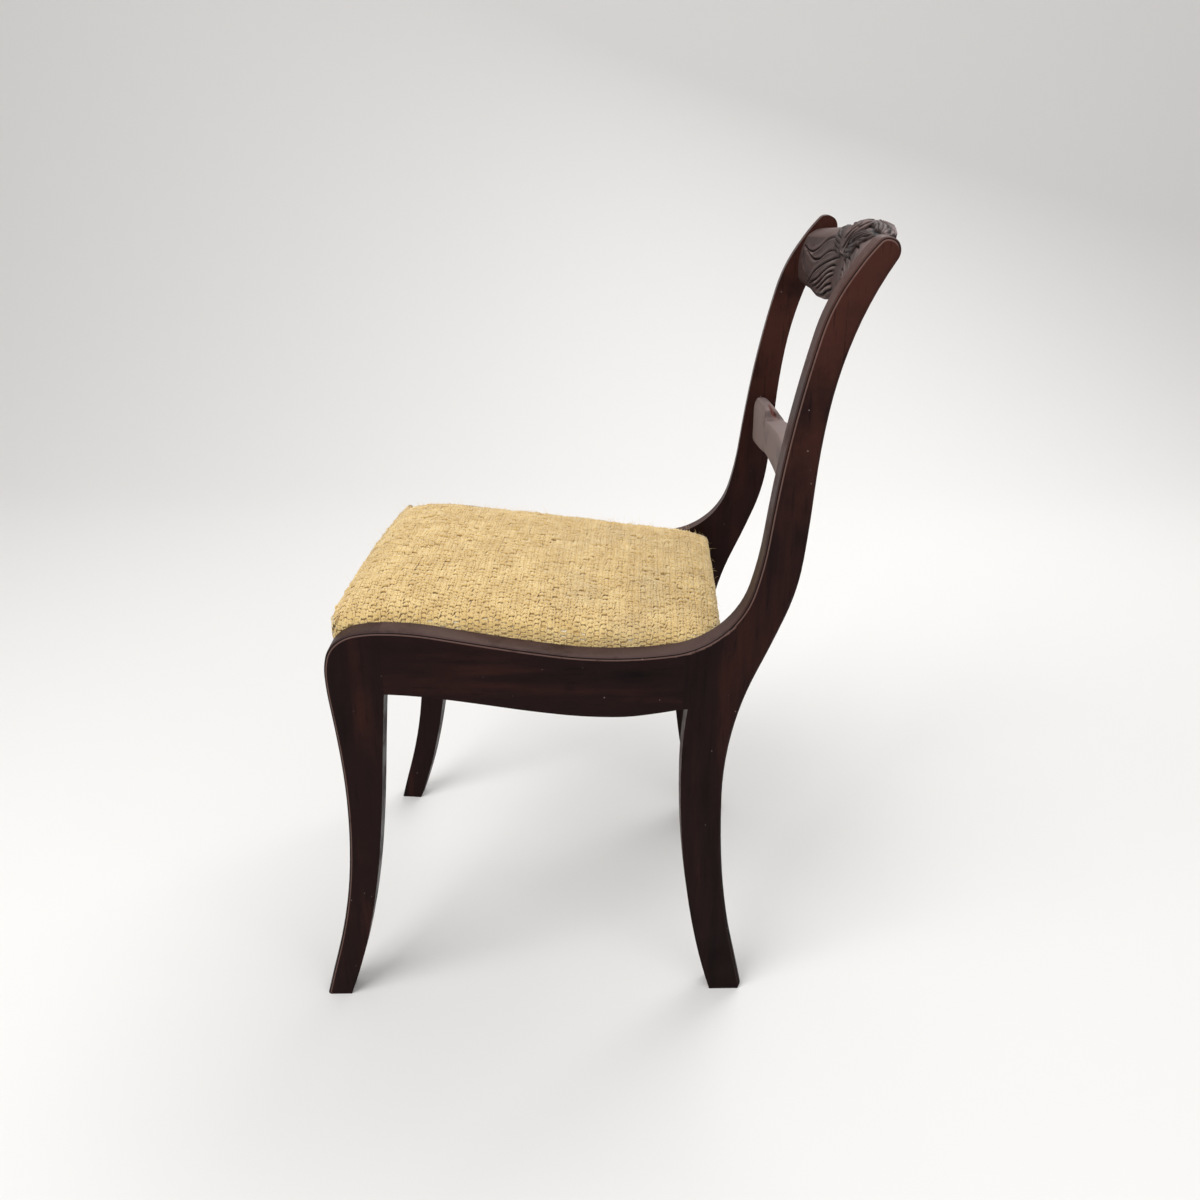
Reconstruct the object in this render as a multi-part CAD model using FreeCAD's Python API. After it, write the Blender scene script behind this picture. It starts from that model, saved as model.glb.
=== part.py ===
import FreeCAD, Part

import math
import os

Vector = FreeCAD.Vector

# Dining chair with planar side frames that run in one sweep from a sabre front leg, along a
# dipped side rail, into the stile and its sabre rear leg. A bowed crest and a lower back rail
# join the stiles, and a loose upholstered seat drops in between the frames.
# Lengths are millimetres and angles degrees. The chair faces -Y. A station is a distance
# back along a side frame from the front of its knee, and a height is taken from the floor.

arc_pairs = 2                # pairs of arcs in each stretch of an outline

# Side frames
knee_width = 448.0           # across the outside of the chair at the knees
splay = 3.28                 # each frame turns in by this much towards the back
plank = 26.0                 # thickness of the side frames
arris_round = 4.5            # rounding along the outer front and top edge

# Front leg
leg_head = 60.5              # depth of the leg where the side rail meets it
knee_height = 413.0
knee_swell = 9.0             # how far the knee stands ahead of the hollow below it
hollow_height = 265.0
toe_throw = 45.5             # how far the toe kicks forward of the hollow
front_foot = 28.0            # depth of the front foot on the floor

# Side rail
rail_span = 316.7            # between the front leg and the back post
crown_station = 59.5         # where the top of the frame turns level over the knee
crown_height = 463.5
dip_fall = 32.0              # the top of the rail falls by this much to its lowest place
dip_share = 0.77             # place of the dip along the rail
front_rail_depth = 71.0      # depth of the side rail at the front leg
dip_rail_depth = 68.7        # and at the dip
rear_rail_depth = 67.6       # and at the back post

# Back post: stile above, sabre leg below
stile_set_back = 74.4        # from the rail joint to the front of the stile at the shoulder
shoulder_rise = 94.5         # from the top of the knees up to the shoulder of the stile
stile_width = 38.0
shoulder_fall = 21.0         # the stile's back corner lies this far below the shoulder
stile_rake = 61.2            # how far the stile leans back from shoulder to neck
stile_height = 842.0
head_rise = 35.0             # from the neck up to the highest point of the stile
head_length = 32.0           # from the neck back to that point
head_drop = 20.0             # from the highest point down to the back corner
head_tail = 11.0             # how far the back corner lies behind the highest point
thigh_width = 45.5           # rear leg at its slimmest, above the calf
thigh_height = 262.0
thigh_hollow = 5.5           # how far the front of the rear leg is cut behind the joint
heel_throw = 30.8            # how far the heel kicks back
rear_foot = 36.7             # depth of the rear foot on the floor
heel_bevel = 3.5             # the heel's worn corner, along the floor
heel_height = 7.0            # and up the leg

# Front and rear rails
cross_rail = 22.0            # thickness of the front and the rear rail
front_rail_set_back = 6.0    # behind the knee
front_rail_height = 50.0
rear_rail_forward = 1.5      # the rear rail's back face lies this far ahead of the seat's edge
rear_rail_height = 34.0

# Crest rail
crest_drop = 18.0            # its ends lie this far below the top of the stiles
crest_end_height = 62.5
crest_lift = 12.0            # rise of the top edge towards the middle
crest_belly = 6.0            # fall of the lower edge at the leaf tips
crest_thickness = 31.0
crest_bow = 21.0             # bow to the back in plan
crest_section_count = 12     # how many times the crest's section is drawn along it

# Lower back rail
slat_rise = 37.0             # middle of the lower back rail above the shoulder
slat_depth = 50.0
slat_thickness = 28.0
slat_recess = 0.5            # its back lies this far inside the stile's back edge
slat_bow = 12.5
slat_scroll = 114.0          # from the middle to the scroll cut into the top edge
slat_notch = 7.0             # depth of that scroll
slat_swag = 6.0              # how far the middle hangs below the ends

# Joints
dowel = 9.5
dowel_reach = 16.0           # depth of a dowel in each cross member and frame
side_dowel_reach = 15.0
dowel_play = 0.1
small_dowel = 8.0
small_dowel_reach = 20.0
dowel_shares = (0.3, 0.7)    # places of two dowels across the wood that they join

# Corner blocks and bearers under the seat
block_leg = 48.0
block_height = 28.0
bearer_width = 14.0
bearer_depth = 16.0
screw = 4.2
screw_head = 8.0
screw_bite = 13.0            # length of a screw in the frame
screw_stock = 12.0           # wood left under a screw's head in the corner block
block_screw_share = 0.42     # place of each screw along a leg of its corner block
block_screw_shift = 6.0      # one screw this far below the middle of the block and one above
bearer_screw_shares = (0.12, 0.5, 0.88)
pocket_play = 1.0

# Seat frame. The seat line runs level with the top of the knees and falls gently to the back,
# and everything in and under the seat takes its height from it.
seat_fall = 23.0             # fall of the seat line from the knees to the back edge of the seat
seat_sink = 8.0              # top of the seat frame below the seat line
seat_bar = 20.0              # thickness of the bars
seat_bar_width = 46.0
seat_front = 3.5             # front edge of the seat behind the knee
seat_back_gap = 38.4         # back edge of the seat ahead of the shoulder of the stile
seat_play = 0.3              # between the seat and what it rests on or slides past
side_play = 0.7              # between the seat's edge and each side frame

# Upholstery
web_width = 50.0
web = 1.0
web_margin = 10.0            # the webbing ends this far inside the edge of the seat frame
web_shares = (0.25, 0.5, 0.75)
web_spread = 0.62            # outer strips, as a share of half the seat's width at the back
layer_gap = 0.1              # between the webbing and the burlap
burlap_thickness = 1.0
lining_thickness = 0.9
cover_thickness = 2.6
hem_thickness = 1.5
side_hem = 27.0
end_hem = 38.0
waist_drop = 3.0             # the padding stands upright to this far below the seat line
edge_rise = 11.0             # edges of the padding above the seat line at the front
back_edge_rise = 1.5         # and at the back
crown_rise = 25.0            # middle of the padding above the seat line at the front
back_crown_rise = 15.0       # and at the back
edge_roll = 11.0             # how far the sides draw in towards the top edge
# Place along the seat and how full the padding is there
pad_fullness = ((0, 0.35), (0.04, 0.8), (0.12, 1), (0.4, 1), (0.7, 1), (0.9, 1), (0.96, 0.8),
                (1, 0.25))
dust_cloth = 0.6
tack_head = 8.0
tack_head_thickness = 0.7
tack_head_sides = 8          # a cut tack's head is struck roughly round
tack_shank = 1.7             # and its shank is square
tack_tip = 0.3
tack_length = 11.0
tack_clearance = 0.05        # between a tack's head and the hem
tack_inset = 5.6             # from the middle of a tack's head to the rail or bearer beside it
side_tacks = 6
end_tacks = 5

# Sizes that follow from those above
dip_height = crown_height - dip_fall
shoulder_height = crown_height + shoulder_rise
slat_height = shoulder_height + slat_rise
neck_height = stile_height - head_rise
rear_joint = leg_head + rail_span
rail_end = rear_joint - thigh_hollow
dip_station = leg_head + dip_share * rail_span
shoulder_station = rear_joint + stile_set_back
neck_station = shoulder_station + stile_rake
head_station = neck_station + head_length
thigh_station = rail_end + thigh_width
seat_back = shoulder_station - seat_back_gap
skin = side_play + cover_thickness
seat_drop = seat_sink + seat_bar + hem_thickness + seat_play
slope = math.radians(splay)
half_knee = knee_width / 2


def point(station, height):
    return Vector(0, station, height)


def heading(angle):
    return Vector(0, math.cos(math.radians(angle)), math.sin(math.radians(angle)))


def arc(start, way, end):
    # The arc that leaves its start in the given direction and runs to its end.
    chord = end - start
    left = Vector(0, -chord.z, chord.y)
    bend = math.atan2(left.dot(way), chord.dot(way))
    if abs(bend) < 0.0005:
        return Part.LineSegment(start, end)
    return Part.Arc(start, (start + end) / 2 + left * (math.tan(bend / 2) / 2), end)


def arc_pair(start, leave, end, arrive):
    # Two arcs that meet in one tangent, with the given directions at both ends.
    span = end - start
    both = leave + arrive
    turn = 2 * (1 - leave.dot(arrive))
    along = span.dot(both)
    reach = span.dot(span) / (along + math.sqrt(along ** 2 + turn * span.dot(span)))
    meeting = (start + end + (leave - arrive) * reach) / 2
    way = meeting - start - leave * reach
    return [arc(start, leave, meeting), arc(meeting, way, end)]


def stretch(start, start_angle, start_pull, end, end_angle, end_pull):
    # A smooth stretch of outline in arcs. A pull is the share of its length that holds straight.
    length = (end - start).Length
    guide = Part.BezierCurve()
    leave = start + heading(start_angle) * (start_pull * length)
    arrive = end - heading(end_angle) * (end_pull * length)
    guide.setPoles([start, leave, arrive, end])
    arcs = []
    for step in range(arc_pairs):
        first, last = step / arc_pairs, (step + 1) / arc_pairs
        arcs += arc_pair(guide.value(first), guide.tangent(first)[0],
                         guide.value(last), guide.tangent(last)[0])
    return arcs


def place_on(arcs, axis, target):
    # The place on a stretch with a given station (axis 1) or height (axis 2).
    ends = []
    for piece in arcs:
        low, high = piece.FirstParameter, piece.LastParameter
        if piece.value(low)[axis] > piece.value(high)[axis]:
            low, high = high, low
        if piece.value(low)[axis] < target < piece.value(high)[axis]:
            for step in range(40):
                middle = (low + high) / 2
                if piece.value(middle)[axis] < target:
                    low = middle
                else:
                    high = middle
            return piece.value(low)
        ends += [piece.value(low), piece.value(high)]
    return min(ends, key=lambda place: abs(place[axis] - target))


def crown_to_dip():
    start = point(crown_station, crown_height)
    return stretch(start, 0, 0.24, point(dip_station, dip_height), 0, 0.34)


def dip_to_shoulder():
    start = point(dip_station, dip_height)
    return stretch(start, 0, 0.505, point(shoulder_station, shoulder_height), 83, 0.53)


def stile_front():
    start = point(shoulder_station, shoulder_height)
    return stretch(start, 83, 0.36, point(neck_station, neck_height), 56, 0.20)


def head_corner():
    return point(head_station + head_tail, stile_height - head_drop)


def back_of_shoulder():
    return point(shoulder_station + stile_width, shoulder_height - shoulder_fall)


def stile_back():
    return stretch(head_corner(), -123, 0.38, back_of_shoulder(), -96, 0.36)


def rail_top(station):
    if station <= crown_station:
        return crown_height
    return place_on(crown_to_dip() + dip_to_shoulder(), 1, station).z


def seat_curve(drop=0.0):
    # The seat line behind the knees, or a line parallel to it.
    start = point(crown_station, crown_height - drop)
    end = point(seat_back, crown_height - seat_fall - drop)
    return stretch(start, 0, 0.22, end, -2, 0.3)


def seat_line(station):
    if station <= crown_station:
        return crown_height
    if station >= seat_back:
        return crown_height - seat_fall
    return place_on(seat_curve(), 1, station).z


def seat_slope(station):
    return math.degrees(math.atan2(seat_line(station + 1) - seat_line(station - 1), 2))


# Side frames

def front_edge():
    toe = point(knee_swell - toe_throw, 0)
    hollow = point(knee_swell, hollow_height)
    knee = point(0, knee_height)
    crown = point(crown_station, crown_height)
    neck = point(neck_station, neck_height)
    head = point(head_station, stile_height)
    return (stretch(toe, 75, 0.26, hollow, 90, 0.49)
            + stretch(hollow, 90, 0.46, knee, 90, 0.22)
            + stretch(knee, 90, 0.45, crown, 0, 0.54)
            + crown_to_dip()
            + dip_to_shoulder()
            + stile_front()
            + stretch(neck, 56, 0.5, head, 0, 0.15))


def back_edge():
    head = point(head_station, stile_height)
    thigh = point(thigh_station, thigh_height)
    heel = point(thigh_station + heel_throw, heel_height)
    return (stretch(head, 0, 0.54, head_corner(), -123, 0.38)
            + stile_back()
            + stretch(back_of_shoulder(), -96, 0.38, thigh, -90, 0.52)
            + stretch(thigh, -90, 0.5, heel, -78, 0.25))


def lower_edge():
    heel = thigh_station + heel_throw
    toe = knee_swell - toe_throw
    rear_toe = point(heel - rear_foot, 0)
    rear_hollow = point(rail_end, thigh_height + plank)
    rear_corner = point(rear_joint, rail_top(rear_joint) - rear_rail_depth)
    under_dip = point(dip_station, dip_height - dip_rail_depth)
    front_corner = point(leg_head, rail_top(leg_head) - front_rail_depth)
    front_heel = point(toe + front_foot, 0)
    bevel = point(heel - heel_bevel, 0)
    return ([Part.LineSegment(point(heel, heel_height), bevel),
             Part.LineSegment(bevel, rear_toe)]
            + stretch(rear_toe, 107, 0.33, rear_hollow, 90, 0.31)
            + stretch(rear_hollow, 90, 0.5, rear_corner, 80, 0.1)
            + stretch(rear_corner, 183, 0.2, under_dip, 180, 0.36)
            + stretch(under_dip, 180, 0.36, front_corner, 177, 0.37)
            + stretch(front_corner, -96, 0.36, front_heel, -111, 0.36)
            + [Part.LineSegment(front_heel, point(toe, 0))])


def frame_plank():
    # The whole side frame as one plank, its outer face on X = 0 and its thickness towards -X.
    front = [curve.toShape() for curve in front_edge()]
    rest = [curve.toShape() for curve in back_edge() + lower_edge()]
    solid = Part.Face(Part.Wire(front + rest)).extrude(Vector(-plank, 0, 0))
    rounded = []
    for edge in solid.Edges:
        box = edge.BoundBox
        if box.XMin < -0.01:
            continue
        middle = edge.valueAt((edge.FirstParameter + edge.LastParameter) / 2)
        if min(curve.distToShape(Part.Vertex(middle))[0] for curve in front) < 0.01:
            rounded.append(edge)
    return solid.makeFillet(arris_round, rounded)


def saw(solid, first, last):
    # The part of a side frame between two stations.
    low = -2 * stile_height
    length = min(last, 4 * stile_height) - max(first, low)
    block = Part.makeBox(4 * plank, length, 4 * stile_height, Vector(-3 * plank, max(first, low), low))
    return solid.common(block)


def side_dowel_places():
    # Two dowels through each joint of a side frame, at the middle of the plank.
    places = []
    for station, depth in ((leg_head, front_rail_depth), (rail_end, rear_rail_depth)):
        for share in dowel_shares:
            places.append(Vector(-plank / 2, station, rail_top(station) - share * depth))
    return places


def peg(middle, direction, reach, diameter):
    # A dowel that reaches equally far to both sides of its middle.
    start = middle - direction * reach
    return Part.makeCylinder(diameter / 2, 2 * reach, start, direction)


def side_dowels(play=0.0):
    back = Vector(0, 1, 0)
    size = dowel + 2 * play
    return [peg(place, back, side_dowel_reach + play, size) for place in side_dowel_places()]


def set_frame(shape):
    # Turn a side frame's piece by the splay and move it out to its place on the left.
    placed = shape.copy()
    placed.rotate(Vector(0, 0, 0), Vector(0, 0, 1), splay)
    placed.translate(Vector(half_knee, 0, 0))
    return placed


def other_side(shape):
    return shape.mirror(Vector(0, 0, 0), Vector(1, 0, 0))


def inner_face(y, gap=0.0):
    # Distance from the middle of the chair to a side frame's inner face, less a gap.
    across = plank + gap
    offset = across * math.cos(slope) + math.tan(slope) * (y + across * math.sin(slope))
    return half_knee - offset


def room(front, back, bottom, top, gap=0.0):
    # The space between the two frames, from front to back and from bottom to top.
    corners = [Vector(-inner_face(front, gap), front, bottom),
               Vector(inner_face(front, gap), front, bottom),
               Vector(inner_face(back, gap), back, bottom),
               Vector(-inner_face(back, gap), back, bottom)]
    outline = Part.makePolygon(corners + corners[:1])
    return Part.Face(outline).extrude(Vector(0, 0, top - bottom))


def side_strip(front, back, bottom, top, near, far):
    # A strip along the left frame, from one distance off its inner face to another.
    corners = [Vector(inner_face(front, near), front, bottom),
               Vector(inner_face(back, near), back, bottom),
               Vector(inner_face(back, far), back, bottom),
               Vector(inner_face(front, far), front, bottom)]
    outline = Part.makePolygon(corners + corners[:1])
    return Part.Face(outline).extrude(Vector(0, 0, top - bottom))


def seat_slab(top_drop, bottom_drop):
    # A slab across the chair whose faces run parallel to the seat line.
    wide = knee_width
    edges = []
    for drop in (top_drop, bottom_drop):
        crown = point(crown_station, crown_height - drop)
        behind = crown_height - seat_fall - drop
        edges.append(Part.LineSegment(point(-toe_throw, crown_height - drop), crown))
        edges += seat_curve(drop)
        edges.append(Part.LineSegment(point(seat_back, behind), point(shoulder_station, behind)))
    for station, height in ((-toe_throw, crown_height), (shoulder_station, crown_height - seat_fall)):
        top = point(station, height - top_drop)
        bottom = point(station, height - bottom_drop)
        edges.append(Part.LineSegment(top, bottom))
    wire = Part.Wire(Part.__sortEdges__([edge.toShape() for edge in edges]))
    return Part.Face(wire).extrude(Vector(2 * wide, 0, 0)).translated(Vector(-wide, 0, 0))


# Front and rear rails

def front_rail_band():
    front = front_rail_set_back
    return front, front + cross_rail


def rear_rail_band():
    back = seat_back - rear_rail_forward
    return back - cross_rail, back


def cross_rails():
    front, behind = front_rail_band()
    bottom = crown_height - seat_drop - front_rail_height
    front_rail = room(front, behind, bottom, crown_height)
    fore, back = rear_rail_band()
    rear_bottom = seat_line(back) - seat_drop - rear_rail_height
    rear_rail = room(fore, back, rear_bottom, shoulder_height)
    above_seat = seat_slab(-stile_height, seat_drop)
    return front_rail.cut(above_seat), rear_rail.cut(above_seat)


def cross_dowels(band, height, spread, play=0.0):
    # Two dowels, one above the other, at the left end of a cross member.
    y = sum(band) / 2
    across = Vector(1, 0, 0)
    size = dowel + 2 * play
    end = inner_face(y)
    return [peg(Vector(end, y, height + shift), across, dowel_reach + play, size)
            for shift in (-spread / 2, spread / 2)]


def both_sides(shapes):
    return shapes + [other_side(shape) for shape in shapes]


def front_rail_dowels(play=0.0):
    height = crown_height - seat_drop - front_rail_height / 2
    return both_sides(cross_dowels(front_rail_band(), height, front_rail_height / 2, play))


def rear_rail_dowels(play=0.0):
    band = rear_rail_band()
    height = seat_line(band[1]) - seat_drop - rear_rail_height / 2
    return both_sides(cross_dowels(band, height, rear_rail_height / 2, play))


# Crest rail

def crest_foot():
    # Back lower corner of the crest's end, on the back edge of the stile.
    height = stile_height - crest_drop - crest_end_height
    return place_on(stile_back(), 2, height)


def crest_lean():
    foot = crest_foot()
    corner = head_corner()
    return math.atan2(corner.y - foot.y, corner.z - foot.z)


def crest_reach():
    return inner_face(crest_foot().y * math.cos(slope))


def crest_section(x):
    # One section of the crest: a leaning back, a swelling front and a rolled top.
    share = abs(x) / crest_reach()
    foot = crest_foot()
    lean = crest_lean()
    fall = crest_belly * math.sin(math.pi * min(share, 1.0)) ** 2
    rise = crest_lift * max(0, 1 - share ** 2) ** 1.5
    low = foot.z - fall
    tall = (crest_end_height + rise + fall) / math.cos(lean) * 1.02
    base_y = foot.y - fall * math.tan(lean) + crest_bow * (1 - share ** 2)
    up = Vector(0, math.sin(lean), math.cos(lean))
    forward = Vector(0, -math.cos(lean), math.sin(lean))
    base = Vector(x, base_y, low)

    def spot(along, out):
        return base + up * (along * tall) + forward * (out * crest_thickness)

    edges = [Part.Arc(spot(0, 0), spot(-0.02, 0.33), spot(0.08, 0.60)).toShape(),
             Part.Arc(spot(0.08, 0.60), spot(0.36, 0.90), spot(0.68, 0.99)).toShape(),
             Part.Arc(spot(0.68, 0.99), spot(0.88, 0.68), spot(0.97, 0.06)).toShape(),
             Part.Arc(spot(0.97, 0.06), spot(0.5, -0.03), spot(0, 0)).toShape()]
    return Part.Wire(edges)


def crest_rail():
    reach = crest_reach() + plank
    half = crest_section_count // 2
    sections = [crest_section(step / half * reach) for step in range(-half, half + 1)]
    loft = Part.makeLoft(sections, True, True)
    foot = crest_foot().y
    return loft.common(room(foot - plank * 2, foot + plank * 4, shoulder_height, 2 * stile_height))


def crest_dowels(play=0.0):
    foot = crest_foot()
    lean = crest_lean()
    size = dowel + 2 * play
    pegs = []
    for share in (0.3, 0.68):
        along = share * crest_end_height / math.cos(lean)
        y = foot.y + along * math.sin(lean) - 0.45 * crest_thickness * math.cos(lean)
        z = foot.z + along * math.cos(lean) + 0.45 * crest_thickness * math.sin(lean)
        pegs.append(peg(Vector(inner_face(y), y, z), Vector(1, 0, 0), dowel_reach + play, size))
    return both_sides(pegs)


# Lower back rail

def slat_back():
    return place_on(stile_back(), 2, slat_height).y - slat_recess


def slat_reach():
    return inner_face(slat_back() - slat_thickness / 2)


def slat_elevation():
    # Seen from the front: scrolled wings, a raised middle above and a hanging swag below.
    reach = slat_reach() + plank
    top = slat_height + slat_depth / 2
    bottom = slat_height - slat_depth / 2

    def at(x, z):
        return Vector(x, 0, z)

    def half(side):
        wing = at(side * (slat_scroll + slat_notch), top - 0.6 * slat_notch)
        notch = at(side * slat_scroll, top - 2 * slat_notch)
        curl = at(side * (slat_scroll + 0.1 * slat_notch), top - 1.2 * slat_notch)
        swell = at(side * slat_scroll * 0.55, top - 1.3 * slat_notch)
        middle = at(0, top - slat_notch)
        cusp = at(side * slat_scroll * 0.88, bottom - 0.4 * slat_swag)
        lobe = at(side * slat_scroll * 1.2, bottom - 0.9 * slat_swag)
        belly = at(side * slat_scroll * 0.5, bottom - 0.6 * slat_swag)
        return [Part.LineSegment(at(side * reach, top), wing),
                Part.Arc(wing, curl, notch),
                Part.Arc(notch, swell, middle),
                Part.Arc(at(0, bottom - slat_swag), belly, cusp),
                Part.Arc(cusp, lobe, at(side * reach, bottom)),
                Part.LineSegment(at(side * reach, bottom), at(side * reach, top))]

    edges = [piece.toShape() for side in (-1, 1) for piece in half(side)]
    return Part.Face(Part.Wire(Part.__sortEdges__(edges)))


def slat_plan():
    reach = slat_reach() + plank
    low = slat_height - slat_depth * 2
    back = slat_back()
    beyond = slat_bow * (1 - (reach / slat_reach()) ** 2)

    def bowed(y):
        return Part.Arc(Vector(-reach, y + beyond, low), Vector(0, y + slat_bow, low),
                        Vector(reach, y + beyond, low)).toShape()

    front = bowed(back - slat_thickness)
    rear = bowed(back)
    sides = [Part.makeLine(Vector(side * reach, back - slat_thickness + beyond, low),
                           Vector(side * reach, back + beyond, low)) for side in (-1, 1)]
    return Part.Face(Part.Wire(Part.__sortEdges__([front, rear] + sides)))


def lower_back_rail():
    band = slat_plan().extrude(Vector(0, 0, slat_depth * 4))
    board = slat_elevation().translated(Vector(0, slat_back() - 4 * slat_thickness, 0))
    board = board.extrude(Vector(0, 8 * slat_thickness, 0))
    back = slat_back()
    between = room(back - 2 * slat_thickness, back + 2 * slat_thickness, 0, stile_height)
    return band.common(board).common(between)


def slat_dowels(play=0.0):
    y = slat_back() - slat_thickness / 2
    size = dowel + 2 * play
    return both_sides([peg(Vector(inner_face(y), y, slat_height + shift), Vector(1, 0, 0),
                           dowel_reach + play, size) for shift in (-slat_depth / 5, slat_depth / 5)])


# Corner blocks, bearers and their screws

def under_seat(depth):
    return seat_slab(seat_drop, seat_drop + depth)


def corner_block(y, side):
    # A triangle in the corner between a cross rail at y and the left frame.
    # Side is +1 for a front corner and -1 for a rear one.
    corner = Vector(inner_face(y), y, 0)
    along = Vector(inner_face(y + side * block_leg), y + side * block_leg, 0)
    across = corner - Vector(block_leg, 0, 0)
    outline = Part.makePolygon([corner, along, across, corner])
    prism = Part.Face(outline).extrude(Vector(0, 0, stile_height))
    return prism.common(under_seat(block_height))


def wood_screw(head, direction, length):
    # A countersunk wood screw, its head's top at the given place.
    radius = screw / 2
    rim = screw_head / 2
    profile = [Vector(0, 0, 0), Vector(rim, 0, 0), Vector(radius, 0, rim - radius),
               Vector(radius, 0, length), Vector(0, 0, length)]
    face = Part.Face(Part.makePolygon(profile + profile[:1]))
    solid = face.revolve(Vector(0, 0, 0), Vector(0, 0, 1), 360)
    return stood(solid, head, direction)


def block_screws():
    # Each block has one screw into its cross rail and one into the side frame.
    screws, pockets = [], []
    length = screw_stock + screw_bite
    outward = Vector(math.cos(slope), math.sin(slope), 0)
    for y, side in ((front_rail_band()[1], 1), (rear_rail_band()[0], -1)):
        height = seat_line(y + side * block_leg / 2) - seat_drop - block_height / 2
        shift = Vector(0, 0, block_screw_shift)
        into_rail = Vector(0, -side, 0)
        along = block_leg * block_screw_share
        first = Vector(inner_face(y) - along, y + side * screw_stock, height) - shift
        y_side = y + side * along
        second = Vector(inner_face(y_side), y_side, height) - outward * screw_stock + shift
        for head, direction in ((first, into_rail), (second, outward)):
            screws.append(wood_screw(head, direction, length))
            radius = screw_head / 2 + pocket_play
            pockets.append(Part.makeCylinder(radius, block_leg, head, direction * -1))
    return screws, pockets


def bearer_ends():
    return front_rail_band()[1] + block_leg, rear_rail_band()[0] - block_leg


def seat_bearer():
    front, back = bearer_ends()
    strip = side_strip(front, back, 0, stile_height, 0, bearer_width)
    return strip.common(under_seat(bearer_depth))


def bearer_screws():
    front, back = bearer_ends()
    outward = Vector(math.cos(slope), math.sin(slope), 0)
    screws = []
    for share in bearer_screw_shares:
        y = front + share * (back - front)
        height = seat_line(y) - seat_drop - bearer_depth / 2
        head = Vector(inner_face(y), y, height) - outward * bearer_width
        screws.append(wood_screw(head, outward, bearer_width + screw_bite))
    return screws


# Seat frame

def seat_bars():
    bars = seat_slab(seat_sink, seat_sink + seat_bar)
    front_end = seat_front + cover_thickness
    back_end = seat_back - cover_thickness
    inner_front = front_end + seat_bar_width
    inner_back = back_end - seat_bar_width
    front_bar = room(front_end, inner_front, 0, stile_height, skin).common(bars)
    back_bar = room(inner_back, back_end, 0, stile_height, skin).common(bars)
    strip = side_strip(inner_front, inner_back, 0, stile_height, skin, skin + seat_bar_width)
    return front_bar, back_bar, strip.common(bars)


def seat_dowels(play=0.0):
    size = small_dowel + 2 * play
    front = seat_front + cover_thickness + seat_bar_width
    back = seat_back - cover_thickness - seat_bar_width
    pegs = []
    for y in (front, back):
        height = seat_line(y) - seat_sink - seat_bar / 2
        for share in dowel_shares:
            x = inner_face(y, skin + share * seat_bar_width)
            place = Vector(x, y, height)
            pegs.append(peg(place, heading(seat_slope(y)), small_dowel_reach + play, size))
    return both_sides(pegs)


def webbing():
    # Three strips from side to side under three strips from front to back.
    front = seat_front + cover_thickness
    back = seat_back - cover_thickness
    crosswise = seat_slab(seat_sink - web, seat_sink)
    lengthwise = seat_slab(seat_sink - 2 * web, seat_sink - web)
    cross, along = [], []
    for share in web_shares:
        y = front + share * (back - front)
        strip = room(y - web_width / 2, y + web_width / 2, 0, stile_height, skin + web_margin)
        cross.append(strip.common(crosswise))
    spacing = inner_face(back) * web_spread
    for x in (-spacing, 0, spacing):
        strip = Part.makeBox(web_width, back - front - 2 * web_margin, stile_height,
                             Vector(x - web_width / 2, front + web_margin, 0))
        along.append(strip.common(lengthwise))
    return cross, along


# Upholstery

def seat_section(y, gap, lift, share, fullness):
    # One section across the padded seat: sides that draw in, and a crown.
    line = seat_line(y)
    wide = inner_face(y, gap)
    floor = line - seat_drop - seat_bar
    waist = line - waist_drop
    edge_height = edge_rise + (back_edge_rise - edge_rise) * share
    middle_height = crown_rise + (back_crown_rise - crown_rise) * share
    edge = waist + (waist_drop + edge_height) * fullness + lift
    crown = waist + (waist_drop + middle_height) * fullness + lift
    roll = edge_roll * (0.6 + 0.4 * fullness)
    bulge = waist + 0.62 * (edge - waist)
    left_low = Vector(-wide, y, floor)
    right_low = Vector(wide, y, floor)
    left_waist = Vector(-wide, y, waist)
    right_waist = Vector(wide, y, waist)
    left_edge = Vector(-wide + roll, y, edge)
    right_edge = Vector(wide - roll, y, edge)
    left_bulge = Vector(-wide + 0.18 * roll, y, bulge)
    right_bulge = Vector(wide - 0.18 * roll, y, bulge)
    edges = [Part.LineSegment(left_low, right_low),
             Part.LineSegment(right_low, right_waist),
             Part.Arc(right_waist, right_bulge, right_edge),
             Part.Arc(right_edge, Vector(0, y, crown), left_edge),
             Part.Arc(left_edge, left_bulge, left_waist),
             Part.LineSegment(left_waist, left_low)]
    return Part.Wire([edge.toShape() for edge in edges])


def seat_form(gap, end_gap, lift):
    front = seat_front + end_gap
    long = seat_back - end_gap - front
    sections = [seat_section(front + share * long, gap, lift, share, full)
                for share, full in pad_fullness]
    return Part.makeLoft(sections, True, True)


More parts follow.
